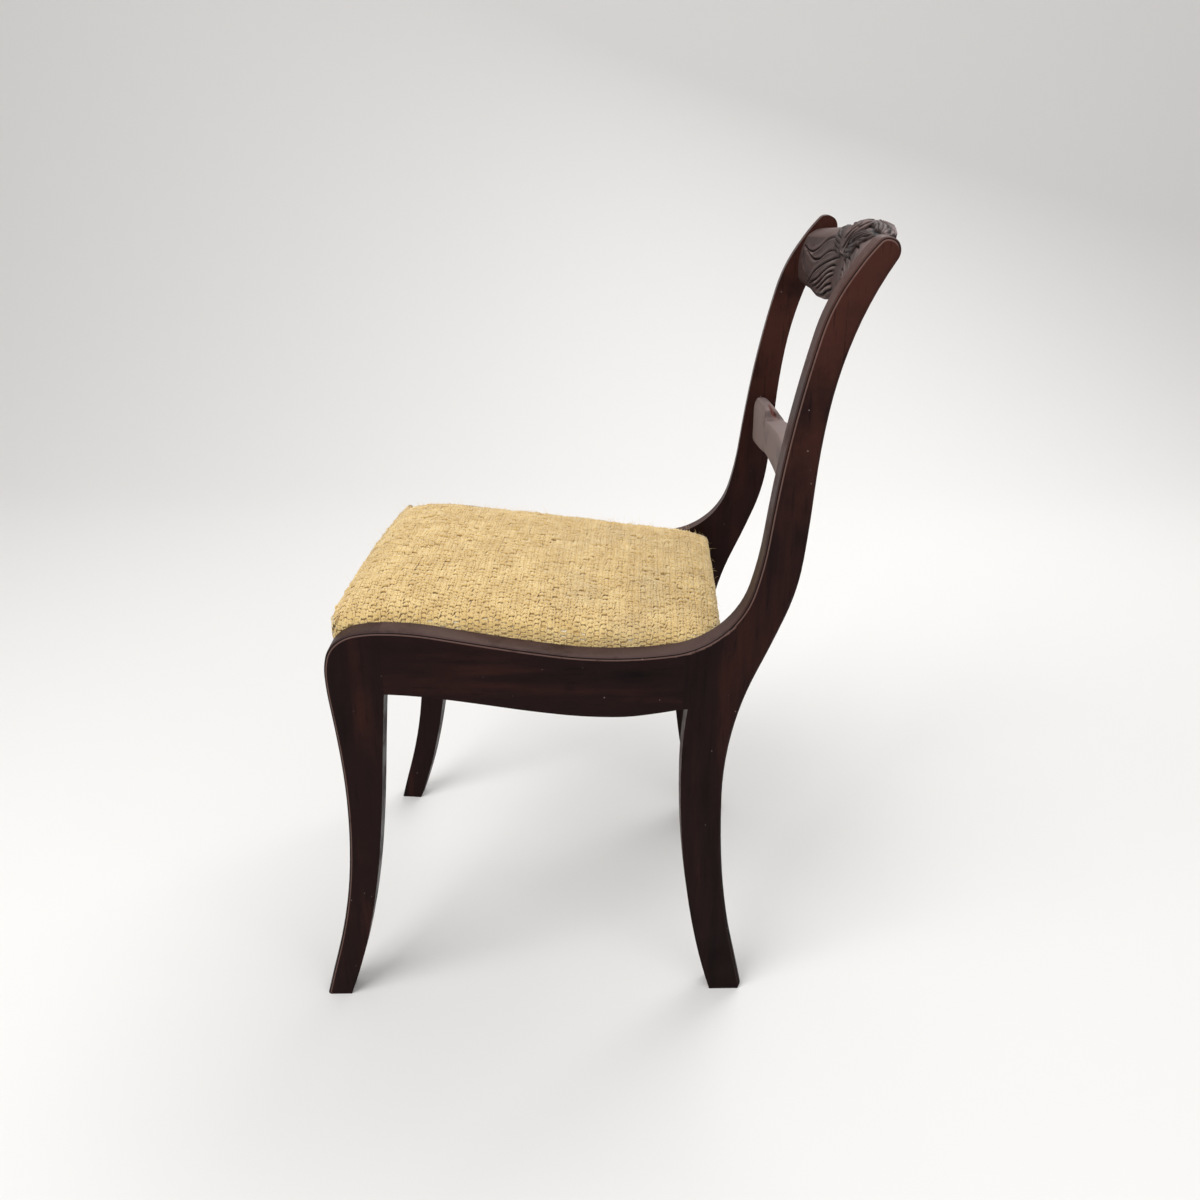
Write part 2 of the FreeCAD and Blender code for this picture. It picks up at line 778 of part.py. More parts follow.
def upholstery():
    stack = seat_sink - 2 * web - layer_gap
    burlap_top = stack - burlap_thickness
    front = seat_front + cover_thickness
    back = seat_back - cover_thickness
    high = 2 * stile_height
    burlap = room(front, back, 0, high, skin).common(seat_slab(burlap_top, stack))
    under_bars = seat_sink + seat_bar
    above_burlap = seat_slab(-stile_height, burlap_top)
    above_hem = seat_slab(-stile_height, under_bars)
    core = seat_form(skin + lining_thickness, cover_thickness + lining_thickness, 0)
    lined = seat_form(skin, cover_thickness, lining_thickness)
    covered = seat_form(side_play, 0, lining_thickness + cover_thickness)
    padding = core.common(above_burlap)
    lining = lined.cut(core).common(above_burlap)
    mouth = room(seat_front + end_hem, seat_back - end_hem, 0, high, side_hem)
    hem = room(seat_front, seat_back, 0, high, side_play)
    hem = hem.common(seat_slab(under_bars, under_bars + hem_thickness)).cut(mouth)
    seat_cover = covered.common(above_hem).cut(lined).fuse(hem)
    return burlap, padding, lining, seat_cover


def dust_cover():
    layer = seat_slab(seat_sink + seat_bar, seat_sink + seat_bar + dust_cloth)
    front = seat_front + end_hem + seat_play
    back = seat_back - end_hem - seat_play
    return room(front, back, 0, stile_height, side_hem + seat_play).common(layer)


def tack_places():
    # Where each tack's head meets the hem, in rows between the bearers and the blocks.
    places = []
    front, back = bearer_ends()
    inset = bearer_width + tack_inset
    for step in range(side_tacks):
        y = front + (step + 0.5) * (back - front) / side_tacks
        x = inner_face(y, inset)
        places += [(-x, y), (x, y)]
    for y in (front_rail_band()[1] + tack_inset, rear_rail_band()[0] - tack_inset):
        wide = inner_face(y) - block_leg - tack_head
        places += [((2 * step / (end_tacks - 1) - 1) * wide, y) for step in range(end_tacks)]
    drop = seat_sink + seat_bar + hem_thickness
    return [(Vector(x, y, seat_line(y) - drop), heading(seat_slope(y) + 90)) for x, y in places]


def prism_ring(across, sides, height):
    # A level outline of equal sides, with the given width from corner to corner.
    corners = []
    for step in range(sides + 1):
        angle = 2 * math.pi * (step % sides + 0.5) / sides
        corners.append(Vector(across / 2 * math.cos(angle), across / 2 * math.sin(angle), height))
    return Part.makePolygon(corners)


def stood(shape, place, up):
    shape.Placement = FreeCAD.Placement(place, FreeCAD.Rotation(Vector(0, 0, 1), up))
    return shape


def tack_shank_solid():
    # A square shank that tapers from under the head to its tip.
    sides = math.sqrt(2)
    rings = [prism_ring(tack_shank * sides, 4, 0), prism_ring(tack_tip * sides, 4, tack_length)]
    return Part.makeLoft(rings, True, True)


def tack(place, up):
    # Head under the hem, shank up into the seat frame, square to the dipped underside.
    rim = Part.Face(prism_ring(tack_head, tack_head_sides, -tack_head_thickness - tack_clearance))
    head = rim.extrude(Vector(0, 0, tack_head_thickness))
    shank = tack_shank_solid().translated(Vector(0, 0, -tack_clearance - tack_head_thickness / 2))
    return stood(head.fuse(shank).Solids[0], place, up)


def tack_holes():
    shank = Vector(0, 0, -tack_clearance - tack_head_thickness / 2)
    return [stood(tack_shank_solid().translated(shank), place, up) for place, up in tack_places()]


# The whole chair

def build():
    nodes = {}
    whole = frame_plank()
    frame_holes = Part.makeCompound(side_dowels(dowel_play))
    pieces = {"front_leg": saw(whole, -9 * stile_height, leg_head),
              "side_rail": saw(whole, leg_head, rail_end),
              "back_post": saw(whole, rail_end, 9 * stile_height)}
    front_rail, rear_rail = cross_rails()
    crest = crest_rail()
    slat = lower_back_rail()
    screws, pockets = block_screws()
    long_screws = bearer_screws()
    cross_holes = (front_rail_dowels(dowel_play) + rear_rail_dowels(dowel_play)
                   + crest_dowels(dowel_play) + slat_dowels(dowel_play))
    screw_holes = both_sides(screws + long_screws)
    holes = Part.makeCompound(cross_holes + screw_holes)

    for name, piece in pieces.items():
        drilled = set_frame(piece.cut(frame_holes)).cut(holes)
        nodes["left_" + name] = drilled
        nodes["right_" + name] = other_side(drilled)
    nodes["front_rail"] = front_rail.cut(holes)
    nodes["rear_rail"] = rear_rail.cut(holes)
    nodes["crest_rail"] = crest.cut(holes)
    nodes["lower_back_rail"] = slat.cut(holes)

    pegs = [set_frame(shape) for shape in side_dowels()]
    nodes["side_rail_dowels"] = Part.makeCompound(both_sides(pegs))
    nodes["front_rail_dowels"] = Part.makeCompound(front_rail_dowels())
    nodes["rear_rail_dowels"] = Part.makeCompound(rear_rail_dowels())
    nodes["crest_dowels"] = Part.makeCompound(crest_dowels())
    nodes["lower_rail_dowels"] = Part.makeCompound(slat_dowels())

    cut_outs = Part.makeCompound(screws + pockets)
    corners = {"front": (front_rail_band()[1], 1), "rear": (rear_rail_band()[0], -1)}
    for name, (y, side) in corners.items():
        block = corner_block(y, side).cut(cut_outs)
        nodes["left_" + name + "_block"] = block
        nodes["right_" + name + "_block"] = other_side(block)
    bearer = seat_bearer().cut(Part.makeCompound(long_screws))
    nodes["left_seat_bearer"] = bearer
    nodes["right_seat_bearer"] = other_side(bearer)
    nodes["corner_block_screws"] = Part.makeCompound(both_sides(screws))
    nodes["bearer_screws"] = Part.makeCompound(both_sides(long_screws))

    front_bar, back_bar, side_bar = seat_bars()
    bored = Part.makeCompound(seat_dowels(dowel_play) + tack_holes())
    nodes["seat_front_bar"] = front_bar.cut(bored)
    nodes["seat_back_bar"] = back_bar.cut(bored)
    nodes["seat_left_bar"] = side_bar.cut(bored)
    nodes["seat_right_bar"] = other_side(side_bar).cut(bored)
    nodes["seat_frame_dowels"] = Part.makeCompound(seat_dowels())
    crosswise, lengthwise = webbing()
    nodes["webbing_crosswise"] = Part.makeCompound(crosswise)
    nodes["webbing_lengthwise"] = Part.makeCompound(lengthwise)
    burlap, padding, lining, seat_cover = upholstery()
    nodes["burlap"] = burlap
    nodes["padding"] = padding
    nodes["lining"] = lining
    nodes["seat_cover"] = seat_cover
    nodes["dust_cover"] = dust_cover()
    nodes["cover_tacks"] = Part.makeCompound([tack(place, up) for place, up in tack_places()])
    return nodes


def centred(nodes):
    # Move the chair so that the middle of its footprint box is the origin.
    reach = [shape.optimalBoundingBox(False, False) for shape in nodes.values()]
    front = min(box.YMin for box in reach)
    back = max(box.YMax for box in reach)
    shift = Vector(0, -(front + back) / 2, 0)
    return {name: shape.translated(shift) for name, shape in nodes.items()}, back - front


os.makedirs("parts", exist_ok=True)
nodes, depth = centred(build())
for name, shape in nodes.items():
    shape.exportStep(os.path.join("parts", name + ".step"))
    solids = shape.Solids
    print(name, len(solids), "solids", round(sum(solid.Volume for solid in solids)), "mm3",
          "valid" if shape.isValid() else "NOT VALID")
print("overall depth", round(depth, 1))
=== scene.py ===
import math

import bpy
import numpy as np
from mathutils import Matrix, Vector
from mathutils.bvhtree import BVHTree


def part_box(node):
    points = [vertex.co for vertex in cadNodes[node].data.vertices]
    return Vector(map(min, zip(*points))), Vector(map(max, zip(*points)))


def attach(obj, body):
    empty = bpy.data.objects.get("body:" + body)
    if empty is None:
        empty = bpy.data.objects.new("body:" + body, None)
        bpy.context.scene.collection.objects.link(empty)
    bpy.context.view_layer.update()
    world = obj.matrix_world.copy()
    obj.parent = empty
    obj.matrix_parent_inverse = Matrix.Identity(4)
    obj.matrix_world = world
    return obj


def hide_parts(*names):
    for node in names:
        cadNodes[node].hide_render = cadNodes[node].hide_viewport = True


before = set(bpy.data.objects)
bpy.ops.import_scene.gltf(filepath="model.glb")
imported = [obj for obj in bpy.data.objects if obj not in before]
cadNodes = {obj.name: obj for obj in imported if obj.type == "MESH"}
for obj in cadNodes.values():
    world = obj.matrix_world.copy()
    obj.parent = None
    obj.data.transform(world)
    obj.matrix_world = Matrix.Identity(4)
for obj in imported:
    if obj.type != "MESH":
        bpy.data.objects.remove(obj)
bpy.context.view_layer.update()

creaseAngle = math.radians(50)      # edges sharper than this stay sharp
bpy.context.scene.view_settings.view_transform = "Standard"
print("frame loaded:", len(cadNodes), "nodes")


# small helpers
def deselectAll():
    bpy.ops.object.select_all(action="DESELECT")


def pick(obj):
    deselectAll()
    obj.select_set(True)
    bpy.context.view_layer.objects.active = obj


def applyModifiers(obj):
    pick(obj)
    for modifier in list(obj.modifiers):
        bpy.ops.object.modifier_apply(modifier=modifier.name)


def pointsOf(obj):
    flat = np.empty(len(obj.data.vertices) * 3)
    obj.data.vertices.foreach_get("co", flat)
    return flat.reshape(-1, 3)


def movePoints(obj, points):
    obj.data.vertices.foreach_set("co", np.asarray(points, float).ravel())
    obj.data.update()


def meshPiece(name, points, faces):
    mesh = bpy.data.meshes.new(name)
    # a face that names a corner twice is a triangle
    corners = [tuple(dict.fromkeys(face)) for face in np.asarray(faces).tolist()]
    mesh.from_pydata(np.asarray(points).tolist(), [], corners)
    mesh.update()
    piece = bpy.data.objects.new(name, mesh)
    bpy.context.scene.collection.objects.link(piece)
    return piece


def surfaceOf(*names):
    # one search tree over the meshes of some CAD nodes
    points, faces = [], []
    for name in names:
        mesh = cadNodes[name].data
        base = len(points)
        points += [v.co.copy() for v in mesh.vertices]
        faces += [[base + i for i in p.vertices] for p in mesh.polygons]
    return BVHTree.FromPolygons(points, faces)


def hitsAlong(tree, places, way):
    # where a ray from each place meets the mesh, along the ray's own axis; misses are filled in
    axis = int(np.argmax(np.abs(way)))
    hits = [tree.ray_cast(Vector(place), Vector(way))[0] for place in places]
    values = np.array([hit[axis] if hit else np.nan for hit in hits])
    good = ~np.isnan(values)
    return np.interp(np.arange(len(values)), np.nonzero(good)[0], values[good])


def editMesh(obj, *steps):
    # run mesh tools in edit mode, each on the whole mesh
    pick(obj)
    bpy.ops.object.mode_set(mode="EDIT")
    for step in steps:
        bpy.ops.mesh.select_all(action="SELECT")
        step()
    bpy.ops.object.mode_set(mode="OBJECT")


def mergeDoubles():
    bpy.ops.mesh.remove_doubles(threshold=0.00002)


def fillEnds():
    bpy.ops.mesh.select_all(action="DESELECT")
    bpy.ops.mesh.select_non_manifold()
    bpy.ops.mesh.fill_holes(sides=0)


def turnOutward():
    bpy.ops.mesh.normals_make_consistent(inside=False)


def smoothStep(low, high, value):
    # 0 at low, 1 at high; low may be the larger of the two
    t = np.clip((value - low) / (high - low), 0, 1)
    return t * t * (3 - 2 * t)


def bell(value, middle, width):
    return np.exp(-((value - middle) / width) ** 2)


def stepsOf(line):
    return np.linalg.norm(np.diff(line, axis=0), axis=1)


def runOf(steps):
    # the length run so far at each point of a line
    return np.concatenate([[0], np.cumsum(steps)])


def pointsAt(line, run, marks):
    return np.column_stack([np.interp(marks, run, line[:, k]) for k in range(line.shape[1])])


def evened(rows, passes):
    # each row drawn towards the rows beside it; the first and last stay
    result = rows.copy()
    for step in range(passes):
        result[1:-1] = (result[:-2] + 2 * result[1:-1] + result[2:]) / 4
    return result


def gridFaces(index):
    # quads between the rows and columns of a grid of point numbers
    corners = [index[:-1, :-1], index[:-1, 1:], index[1:, 1:], index[1:, :-1]]
    return np.stack(corners, axis=-1).reshape(-1, 4)


# materials
def newTree(name):
    material = bpy.data.materials.new(name)
    material.use_nodes = True
    material.node_tree.nodes.clear()
    return material, material.node_tree


def put(tree, kind, inputs=None, **settings):
    node = tree.nodes.new(kind)
    for key, value in settings.items():
        setattr(node, key, value)
    for key, value in (inputs or {}).items():
        socket = node.inputs[key]
        if isinstance(value, bpy.types.NodeSocket):
            tree.links.new(value, socket)
        else:
            socket.default_value = value
    return node


def objectCoords(tree, scale=(1, 1, 1)):
    source = put(tree, "ShaderNodeTexCoord").outputs["Object"]
    return put(tree, "ShaderNodeMapping", {"Vector": source, "Scale": scale}).outputs[0]


def axesOf(tree, vector):
    return put(tree, "ShaderNodeSeparateXYZ", {0: vector}).outputs


def noise(tree, vector, scale, detail=4, rough=0.55):
    inputs = {"Vector": vector, "Scale": scale, "Detail": detail, "Roughness": rough}
    return put(tree, "ShaderNodeTexNoise", inputs).outputs["Fac"]


def maths(tree, operation, first, second=0.0, clamp=False):
    node = put(tree, "ShaderNodeMath", {0: first, 1: second}, operation=operation, use_clamp=clamp)
    return node.outputs[0]


def times(tree, first, *others, clamp=False):
    for other in others:
        first = maths(tree, "MULTIPLY", first, other, clamp)
    return first


def ramp(tree, value, stops):
    node = put(tree, "ShaderNodeValToRGB", {"Fac": value})
    band = node.color_ramp
    while len(band.elements) < len(stops):
        band.elements.new(0.5)
    for element, (place, colour) in zip(band.elements, stops):
        element.position = place
        element.color = (*colour, 1)
    return node.outputs["Color"]


def ramped(tree, value, low, high):
    # 0 below low, 1 above high
    return put(tree, "ShaderNodeMapRange", {"Value": value, "From Min": low, "From Max": high},
               interpolation_type="SMOOTHSTEP").outputs["Result"]


def falling(tree, value, low, high):
    # 1 below low, 0 above high
    return maths(tree, "SUBTRACT", 1.0, ramped(tree, value, low, high))


def mix(tree, share, first, second):
    first, second = ((*colour, 1) if isinstance(colour, tuple) else colour for colour in (first, second))
    return put(tree, "ShaderNodeMix", {0: share, 6: first, 7: second}, data_type="RGBA").outputs[2]


def finishSurface(tree, colour, rough, height=None, distance=0.001, strength=1.0, **fixed):
    inputs = {"Base Color": colour, "Roughness": rough}
    if height is not None:
        bump = put(tree, "ShaderNodeBump", {"Height": height, "Distance": distance, "Strength": strength})
        inputs["Normal"] = bump.outputs["Normal"]
    shader = put(tree, "ShaderNodeBsdfPrincipled", inputs)
    for key, value in fixed.items():
        shader.inputs[key.replace("_", " ")].default_value = value
    output = put(tree, "ShaderNodeOutputMaterial")
    tree.links.new(shader.outputs[0], output.inputs[0])


mahogany = {
    "darkest": (0.0038, 0.0016, 0.0015),
    "middle": (0.0120, 0.0046, 0.0042),
    "reddest": (0.0340, 0.0105, 0.0072),
    "dust": (0.125, 0.078, 0.070),
    "paleDust": (0.285, 0.222, 0.210),
    # the bead colour: rubbed wear and a painted highlight
    "worn": (0.200, 0.118, 0.100),
    "bareRed": (0.160, 0.036, 0.026),
    "roughness": (0.36, 0.66),
    "specular": 0.07,
    "across": 26.0, "along": 2.2,     # how fast the figure changes across and along the grain
    "poreScale": 11,                  # pores are this much finer than the figure
}


def mahoganyMaterial(name, grain, topDust, frontDust, arris=True, pale=0.0, carved=False, lift=0.0):
    # grain is the axis that the wood's grain runs along: 0, 1 or 2
    material, tree = newTree(name)
    stretch = [mahogany["across"]] * 3
    stretch[grain] = mahogany["along"]
    plain = objectCoords(tree)
    figure = noise(tree, objectCoords(tree, stretch), 1.6, 7, 0.62)
    pores = noise(tree, objectCoords(tree, [v * mahogany["poreScale"] for v in stretch]), 1.0, 3, 0.6)
    patches = noise(tree, plain, 7.5, 5, 0.6)
    higherUp = times(tree, ramped(tree, axesOf(tree, plain)["Z"], 0.42, 0.80), lift)     # redder higher up
    wood = ramp(tree, figure, [(0.30, mahogany["darkest"]), (0.52, mahogany["middle"]),
                               (0.78, mahogany["reddest"])])
    wood = mix(tree, ramped(tree, patches, 0.40, 0.62), wood, mahogany["middle"])
    redder = times(tree, higherUp, ramped(tree, patches, 0.34, 0.60))
    wood = mix(tree, redder, wood, tuple(v * 1.5 for v in mahogany["reddest"]))
    wood = mix(tree, times(tree, ramped(tree, pores, 0.56, 0.68), 0.5), wood, mahogany["darkest"])

    # dust lies on what faces up and on what faces the front
    axes = axesOf(tree, put(tree, "ShaderNodeNewGeometry").outputs["Normal"])
    forward = times(tree, axes["Y"], -1.0)
    up = ramped(tree, axes["Z"], 0.12, 0.85)
    fore = ramped(tree, forward, 0.2, 0.95)
    dusty = maths(tree, "MAXIMUM", times(tree, up, topDust), times(tree, fore, frontDust))
    smudges = noise(tree, plain, 24.0, 6, 0.65)
    dusty = times(tree, dusty, ramped(tree, smudges, 0.15, 0.55), clamp=True)
    colour = mix(tree, dusty, wood, mix(tree, pale, mahogany["dust"], mahogany["paleDust"]))

    if arris:
        # along the frame's edges a dark line of painted shade where a quirk groove would be and, outside
        # it, a bead lightened partly by wear and partly as a painted highlight
        side = maths(tree, "ABSOLUTE", axes["X"])
        facing = ramped(tree, maths(tree, "MAXIMUM", axes["Z"], forward), 0.02, 0.2)
        quirkShade = times(tree, ramped(tree, side, 0.66, 0.76), falling(tree, side, 0.86, 0.90), facing, 0.95)
        beadWearAndHighlight = times(tree, ramped(tree, side, 0.86, 0.90), falling(tree, side, 0.975, 0.995), facing)
        rubbed = ramped(tree, noise(tree, plain, 60.0, 5, 0.7), 0.22, 0.48)
        colour = mix(tree, quirkShade, colour, mahogany["darkest"])
        colour = mix(tree, times(tree, beadWearAndHighlight, rubbed, 0.5), colour, mahogany["worn"])

    if carved:
        # hollows get the dark polish, partly real polish and partly painted shade; high places are rubbed
        # pale
        hollowPolishAndShade, proud, bare = (put(tree, "ShaderNodeAttribute", attribute_name=mark).outputs["Fac"]
                               for mark in ("hollowPolishAndShade", "proud", "bare"))
        rubbedHigh = times(tree, proud, ramped(tree, smudges, 0.30, 0.62), 0.7)
        colour = mix(tree, rubbedHigh, colour, mahogany["paleDust"])
        colour = mix(tree, hollowPolishAndShade, colour, mahogany["darkest"])
        colour = mix(tree, bare, colour, mahogany["bareRed"])

    cells = put(tree, "ShaderNodeTexVoronoi", {"Vector": plain, "Scale": 95.0}, feature="F1")
    gate = ramped(tree, noise(tree, plain, 31.0, 2), 0.56, 0.62)
    speck = times(tree, falling(tree, cells.outputs["Distance"], 0.04, 0.10), gate)
    colour = mix(tree, times(tree, speck, 0.45), colour, mahogany["paleDust"])

    low, high = mahogany["roughness"]
    matt = maths(tree, "MAXIMUM", dusty, ramped(tree, smudges, 0.4, 0.7))
    rough = maths(tree, "ADD", low, times(tree, matt, high - low))
    relief = maths(tree, "ADD", times(tree, pores, 0.5), times(tree, speck, -1.0))
    finishSurface(tree, colour, rough, relief, 0.0004, 0.5, Specular_IOR_Level=mahogany["specular"])
    return material


def rawWoodMaterial(name, light, dark):
    # its grain runs along x
    material, tree = newTree(name)
    figure = noise(tree, objectCoords(tree, (4.0, 40.0, 40.0)), 1.8, 6, 0.6)
    stain = noise(tree, objectCoords(tree), 9.0, 3)
    colour = ramp(tree, figure, [(0.3, dark), (0.7, light)])
    colour = mix(tree, times(tree, ramped(tree, stain, 0.5, 0.8), 0.4), colour, dark)
    finishSurface(tree, colour, 0.75, figure, 0.0005, 0.4)
    return material


def metalMaterial(name, colour, tint, rough):
    material, tree = newTree(name)
    spots = noise(tree, objectCoords(tree), 260.0, 4)
    shade = mix(tree, ramped(tree, spots, 0.4, 0.7), colour, tint)
    spotted = maths(tree, "ADD", rough, times(tree, spots, 0.2))
    finishSurface(tree, shade, spotted, spots, 0.0001, 0.4, Metallic=1.0)
    return material


def weaveMaterial(name, light, dark, threads):
    # plain weave, threads to the metre
    material, tree = newTree(name)
    coords = objectCoords(tree)
    axes = axesOf(tree, coords)
    warp, weft = (maths(tree, "ABSOLUTE", maths(tree, "SINE", times(tree, axes[axis], math.pi * threads)))
                  for axis in "XY")
    over = put(tree, "ShaderNodeTexChecker", {"Vector": coords, "Scale": float(threads)}).outputs["Fac"]
    height = put(tree, "ShaderNodeMix", {0: over, 2: warp, 3: weft}, data_type="FLOAT").outputs[0]
    fibre = noise(tree, coords, threads * 3.0, 4)
    lit = maths(tree, "ADD", 0.6, times(tree, fibre, 0.7))
    shade = times(tree, ramped(tree, height, 0.14, 0.9), lit, clamp=True)
    finishSurface(tree, mix(tree, shade, dark, light), 0.92, height, 0.0006, 0.7, Sheen_Weight=0.25)
    return material


yarn = {
    "light": (0.800, 0.590, 0.245),
    "deep": (0.660, 0.450, 0.155),
    # the stitches' backs, darker than the yarn as painted shade in the gaps
    "back": (0.570, 0.370, 0.135),
    "soiled": (0.520, 0.390, 0.205),
    "seen": (0.80, 0.74, 0.60),
}


def yarnMaterial(name):
    material, tree = newTree(name)
    coords = objectCoords(tree)
    tone = noise(tree, coords, 38.0, 4, 0.6)
    fibres = noise(tree, objectCoords(tree, (1, 2.6, 1)), 900.0, 3, 0.7)
    colour = mix(tree, ramped(tree, tone, 0.35, 0.7), yarn["deep"], yarn["light"])
    colour = mix(tree, times(tree, ramped(tree, fibres, 0.5, 0.75), 0.35), colour, yarn["deep"])
    # greyer, rubbed wool in a band across the seat
    depth = axesOf(tree, coords)["Y"]
    band = times(tree, ramped(tree, depth, -0.08, 0.01), falling(tree, depth, 0.06, 0.13))
    cloud = ramped(tree, noise(tree, coords, 11.0, 5, 0.6), 0.42, 0.66)
    colour = mix(tree, times(tree, band, cloud, 0.36), colour, yarn["soiled"])
    finishSurface(tree, colour, 0.95, fibres, 0.0007, 0.8, Sheen_Weight=0.55, Sheen_Roughness=0.6,
                  Specular_IOR_Level=0.15)
    return material


def shadedYarnBackMaterial(name):
    # the matted backs of the stitches, darker as painted shade in the gaps between stitches; pale lining
    # glimpses through near one side of the seat
    material, tree = newTree(name)
    coords = objectCoords(tree)
    tone = noise(tree, coords, 120.0, 5, 0.7)
    colour = mix(tree, ramped(tree, tone, 0.35, 0.7), tuple(v * 0.6 for v in yarn["back"]), yarn["back"])
    edge = ramped(tree, axesOf(tree, coords)["X"], 0.150, 0.172)
    hole = ramped(tree, noise(tree, coords, 62.0, 2), 0.61, 0.66)
    colour = mix(tree, times(tree, edge, hole), colour, yarn["seen"])
    finishSurface(tree, colour, 1.0, tone, 0.0008, 0.8)
    return material


legWood = mahoganyMaterial("mahoganyLeg", 2, 0.34, 0.06)
postWood = mahoganyMaterial("mahoganyPost", 2, 0.60, 0.30, lift=0.9)
railWood = mahoganyMaterial("mahoganyRail", 1, 0.58, 0.20)
crestWood = mahoganyMaterial("mahoganyCrest", 0, 0.80, 0.34, False, 0.10, carved=True)
slatWood = mahoganyMaterial("mahoganyLowerRail", 0, 0.95, 0.80, False, 0.70, carved=True)
crossWood = mahoganyMaterial("mahoganyCross", 0, 0.3, 0.15, False)
blockWood = rawWoodMaterial("blockWood", (0.22, 0.12, 0.055), (0.12, 0.06, 0.028))
beech = rawWoodMaterial("beech", (0.48, 0.31, 0.17), (0.33, 0.19, 0.09))
dowelWood = rawWoodMaterial("dowelBeech", (0.52, 0.35, 0.2), (0.4, 0.25, 0.13))
screwSteel = metalMaterial("screwSteel", (0.32, 0.31, 0.29), (0.16, 0.13, 0.10), 0.35)
tackSteel = metalMaterial("tackSteel", (0.035, 0.04, 0.055), (0.10, 0.06, 0.04), 0.3)
juteWeb = weaveMaterial("juteWeb", (0.42, 0.29, 0.15), (0.14, 0.085, 0.04), 420)
burlapCloth = weaveMaterial("burlapCloth", (0.38, 0.27, 0.14), (0.10, 0.065, 0.03), 520)
cambric = weaveMaterial("blackCambric", (0.022, 0.021, 0.020), (0.004, 0.004, 0.004), 1500)
calico = weaveMaterial("calico", (0.80, 0.76, 0.67), (0.50, 0.45, 0.37), 1300)
crochetYarn = yarnMaterial("crochetYarn")
crochetBackShaded = shadedYarnBackMaterial("crochetBackShaded")

finishes = [
    (legWood, "left_front_leg", "right_front_leg"),
    (postWood, "left_back_post", "right_back_post"),
    (railWood, "left_side_rail", "right_side_rail"),
    (crossWood, "front_rail", "rear_rail"),
    (crestWood, "crest_rail"),
    (slatWood, "lower_back_rail"),
    (blockWood, "left_front_block", "right_front_block", "left_rear_block", "right_rear_block",
     "left_seat_bearer", "right_seat_bearer"),
    (dowelWood, "side_rail_dowels", "front_rail_dowels", "rear_rail_dowels", "crest_dowels",
     "lower_rail_dowels", "seat_frame_dowels"),
    (screwSteel, "corner_block_screws", "bearer_screws"),
    (tackSteel, "cover_tacks"),
    (beech, "seat_front_bar", "seat_back_bar", "seat_left_bar", "seat_right_bar"),
    (juteWeb, "webbing_crosswise", "webbing_lengthwise"),
    (burlapCloth, "burlap"),
    (calico, "padding", "lining"),
    (crochetYarn, "seat_cover"),
    (cambric, "dust_cover"),
]
for material, *nodeNames in finishes:
    for nodeName in nodeNames:
        cadNodes[nodeName].data.materials.clear()
        cadNodes[nodeName].data.materials.append(material)
print("materials done")


# lines of the seat and of the side frames, found by rays on the CAD nodes
probe = {
    "count": 90, "margin": 0.004,     # how many, and how far from the seat's ends the outermost are
    "above": 0.6, "railAbove": 0.5, "outside": 0.4, "inside": 0.05,     # where they start
    "barX": 0.155,                    # over the left bar of the seat frame
    "barTop": 0.008,                  # which lies this far under the seat line
    "wallDrop": 0.012,                # the cover's wall is met this far under the seat line,
    "faceDrop": 0.020,                # the side frame's inner face this far under it,
    "railOut": 0.010,                 # and its top this far outside the cover
}
endGap = 0.0015                       # the last full ring of a rail lies this far inside the side frame

coverLow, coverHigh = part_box("seat_cover")
seatYs = np.linspace(coverLow.y + probe["margin"], coverHigh.y - probe["margin"], probe["count"])
downwards, inwards, outwards = (0, 0, -1), (-1, 0, 0), (1, 0, 0)
seatFrame = surfaceOf("seat_left_bar", "seat_front_bar", "seat_back_bar")
sideFrame = surfaceOf("left_front_leg", "left_side_rail", "left_back_post")
barStarts = [(probe["barX"], y, probe["above"]) for y in seatYs]
lineZs = hitsAlong(seatFrame, barStarts, downwards) + probe["barTop"]
wallStarts = [(probe["outside"], y, z - probe["wallDrop"]) for y, z in zip(seatYs, lineZs)]
wallXs = hitsAlong(surfaceOf("seat_cover"), wallStarts, inwards)
railStarts = [(x + probe["railOut"], y, probe["railAbove"]) for x, y in zip(wallXs, seatYs)]
railZs = hitsAlong(sideFrame, railStarts, downwards)
faceStarts = [(probe["inside"], y, z - probe["faceDrop"]) for y, z in zip(seatYs, lineZs)]
innerXs = hitsAlong(sideFrame, faceStarts, outwards)
wallFit = np.polyfit(seatYs, wallXs, 1)       # the cover's wall and the frame's inner face are straight
innerFit = np.polyfit(seatYs, innerXs, 1)


def seatLine(y):
    return np.interp(y, seatYs, lineZs)


def wallX(y):
    return np.polyval(wallFit, y)


def innerX(y):
    return np.polyval(innerFit, y)


def railTop(y):
    return np.interp(y, seatYs, railZs)


# the crest rail, carved
crest = {
    "columns": 500,          # steps along its length
    "around": 196,           # steps around its section
    "rays": 300,             # probes of the section before it is evened out
    "middleZ": 0.795,        # a point inside every section: its height,
    "endDepth": 0.026,       # its place behind the front at the ends
    "bow": 0.020,            # and how much further back it lies in the middle
    "frontShare": 2.6,       # steps lie this much closer on the carved front and top
    "grooveWidth": 0.0011,
    "grooveDepth": 0.0030,
    "swell": 0.0006,         # wood left proud beside each groove
    "roseRadius": 0.0265,
    "rosePlace": -0.0210,    # the rose's middle over the roll, from its highest line; minus is in front
    "roseRelief": 0.0056,
    "mound": 0.0030,         # the wood stands higher under the rose and leaves
    "leafShade": 0.60,       # painted shade: the leaves in front of the roll's top are darker
    "lowerRoll": (0.7585, 0.0045, 0.0014),     # height, width and lift of the roll along its lower edge
}

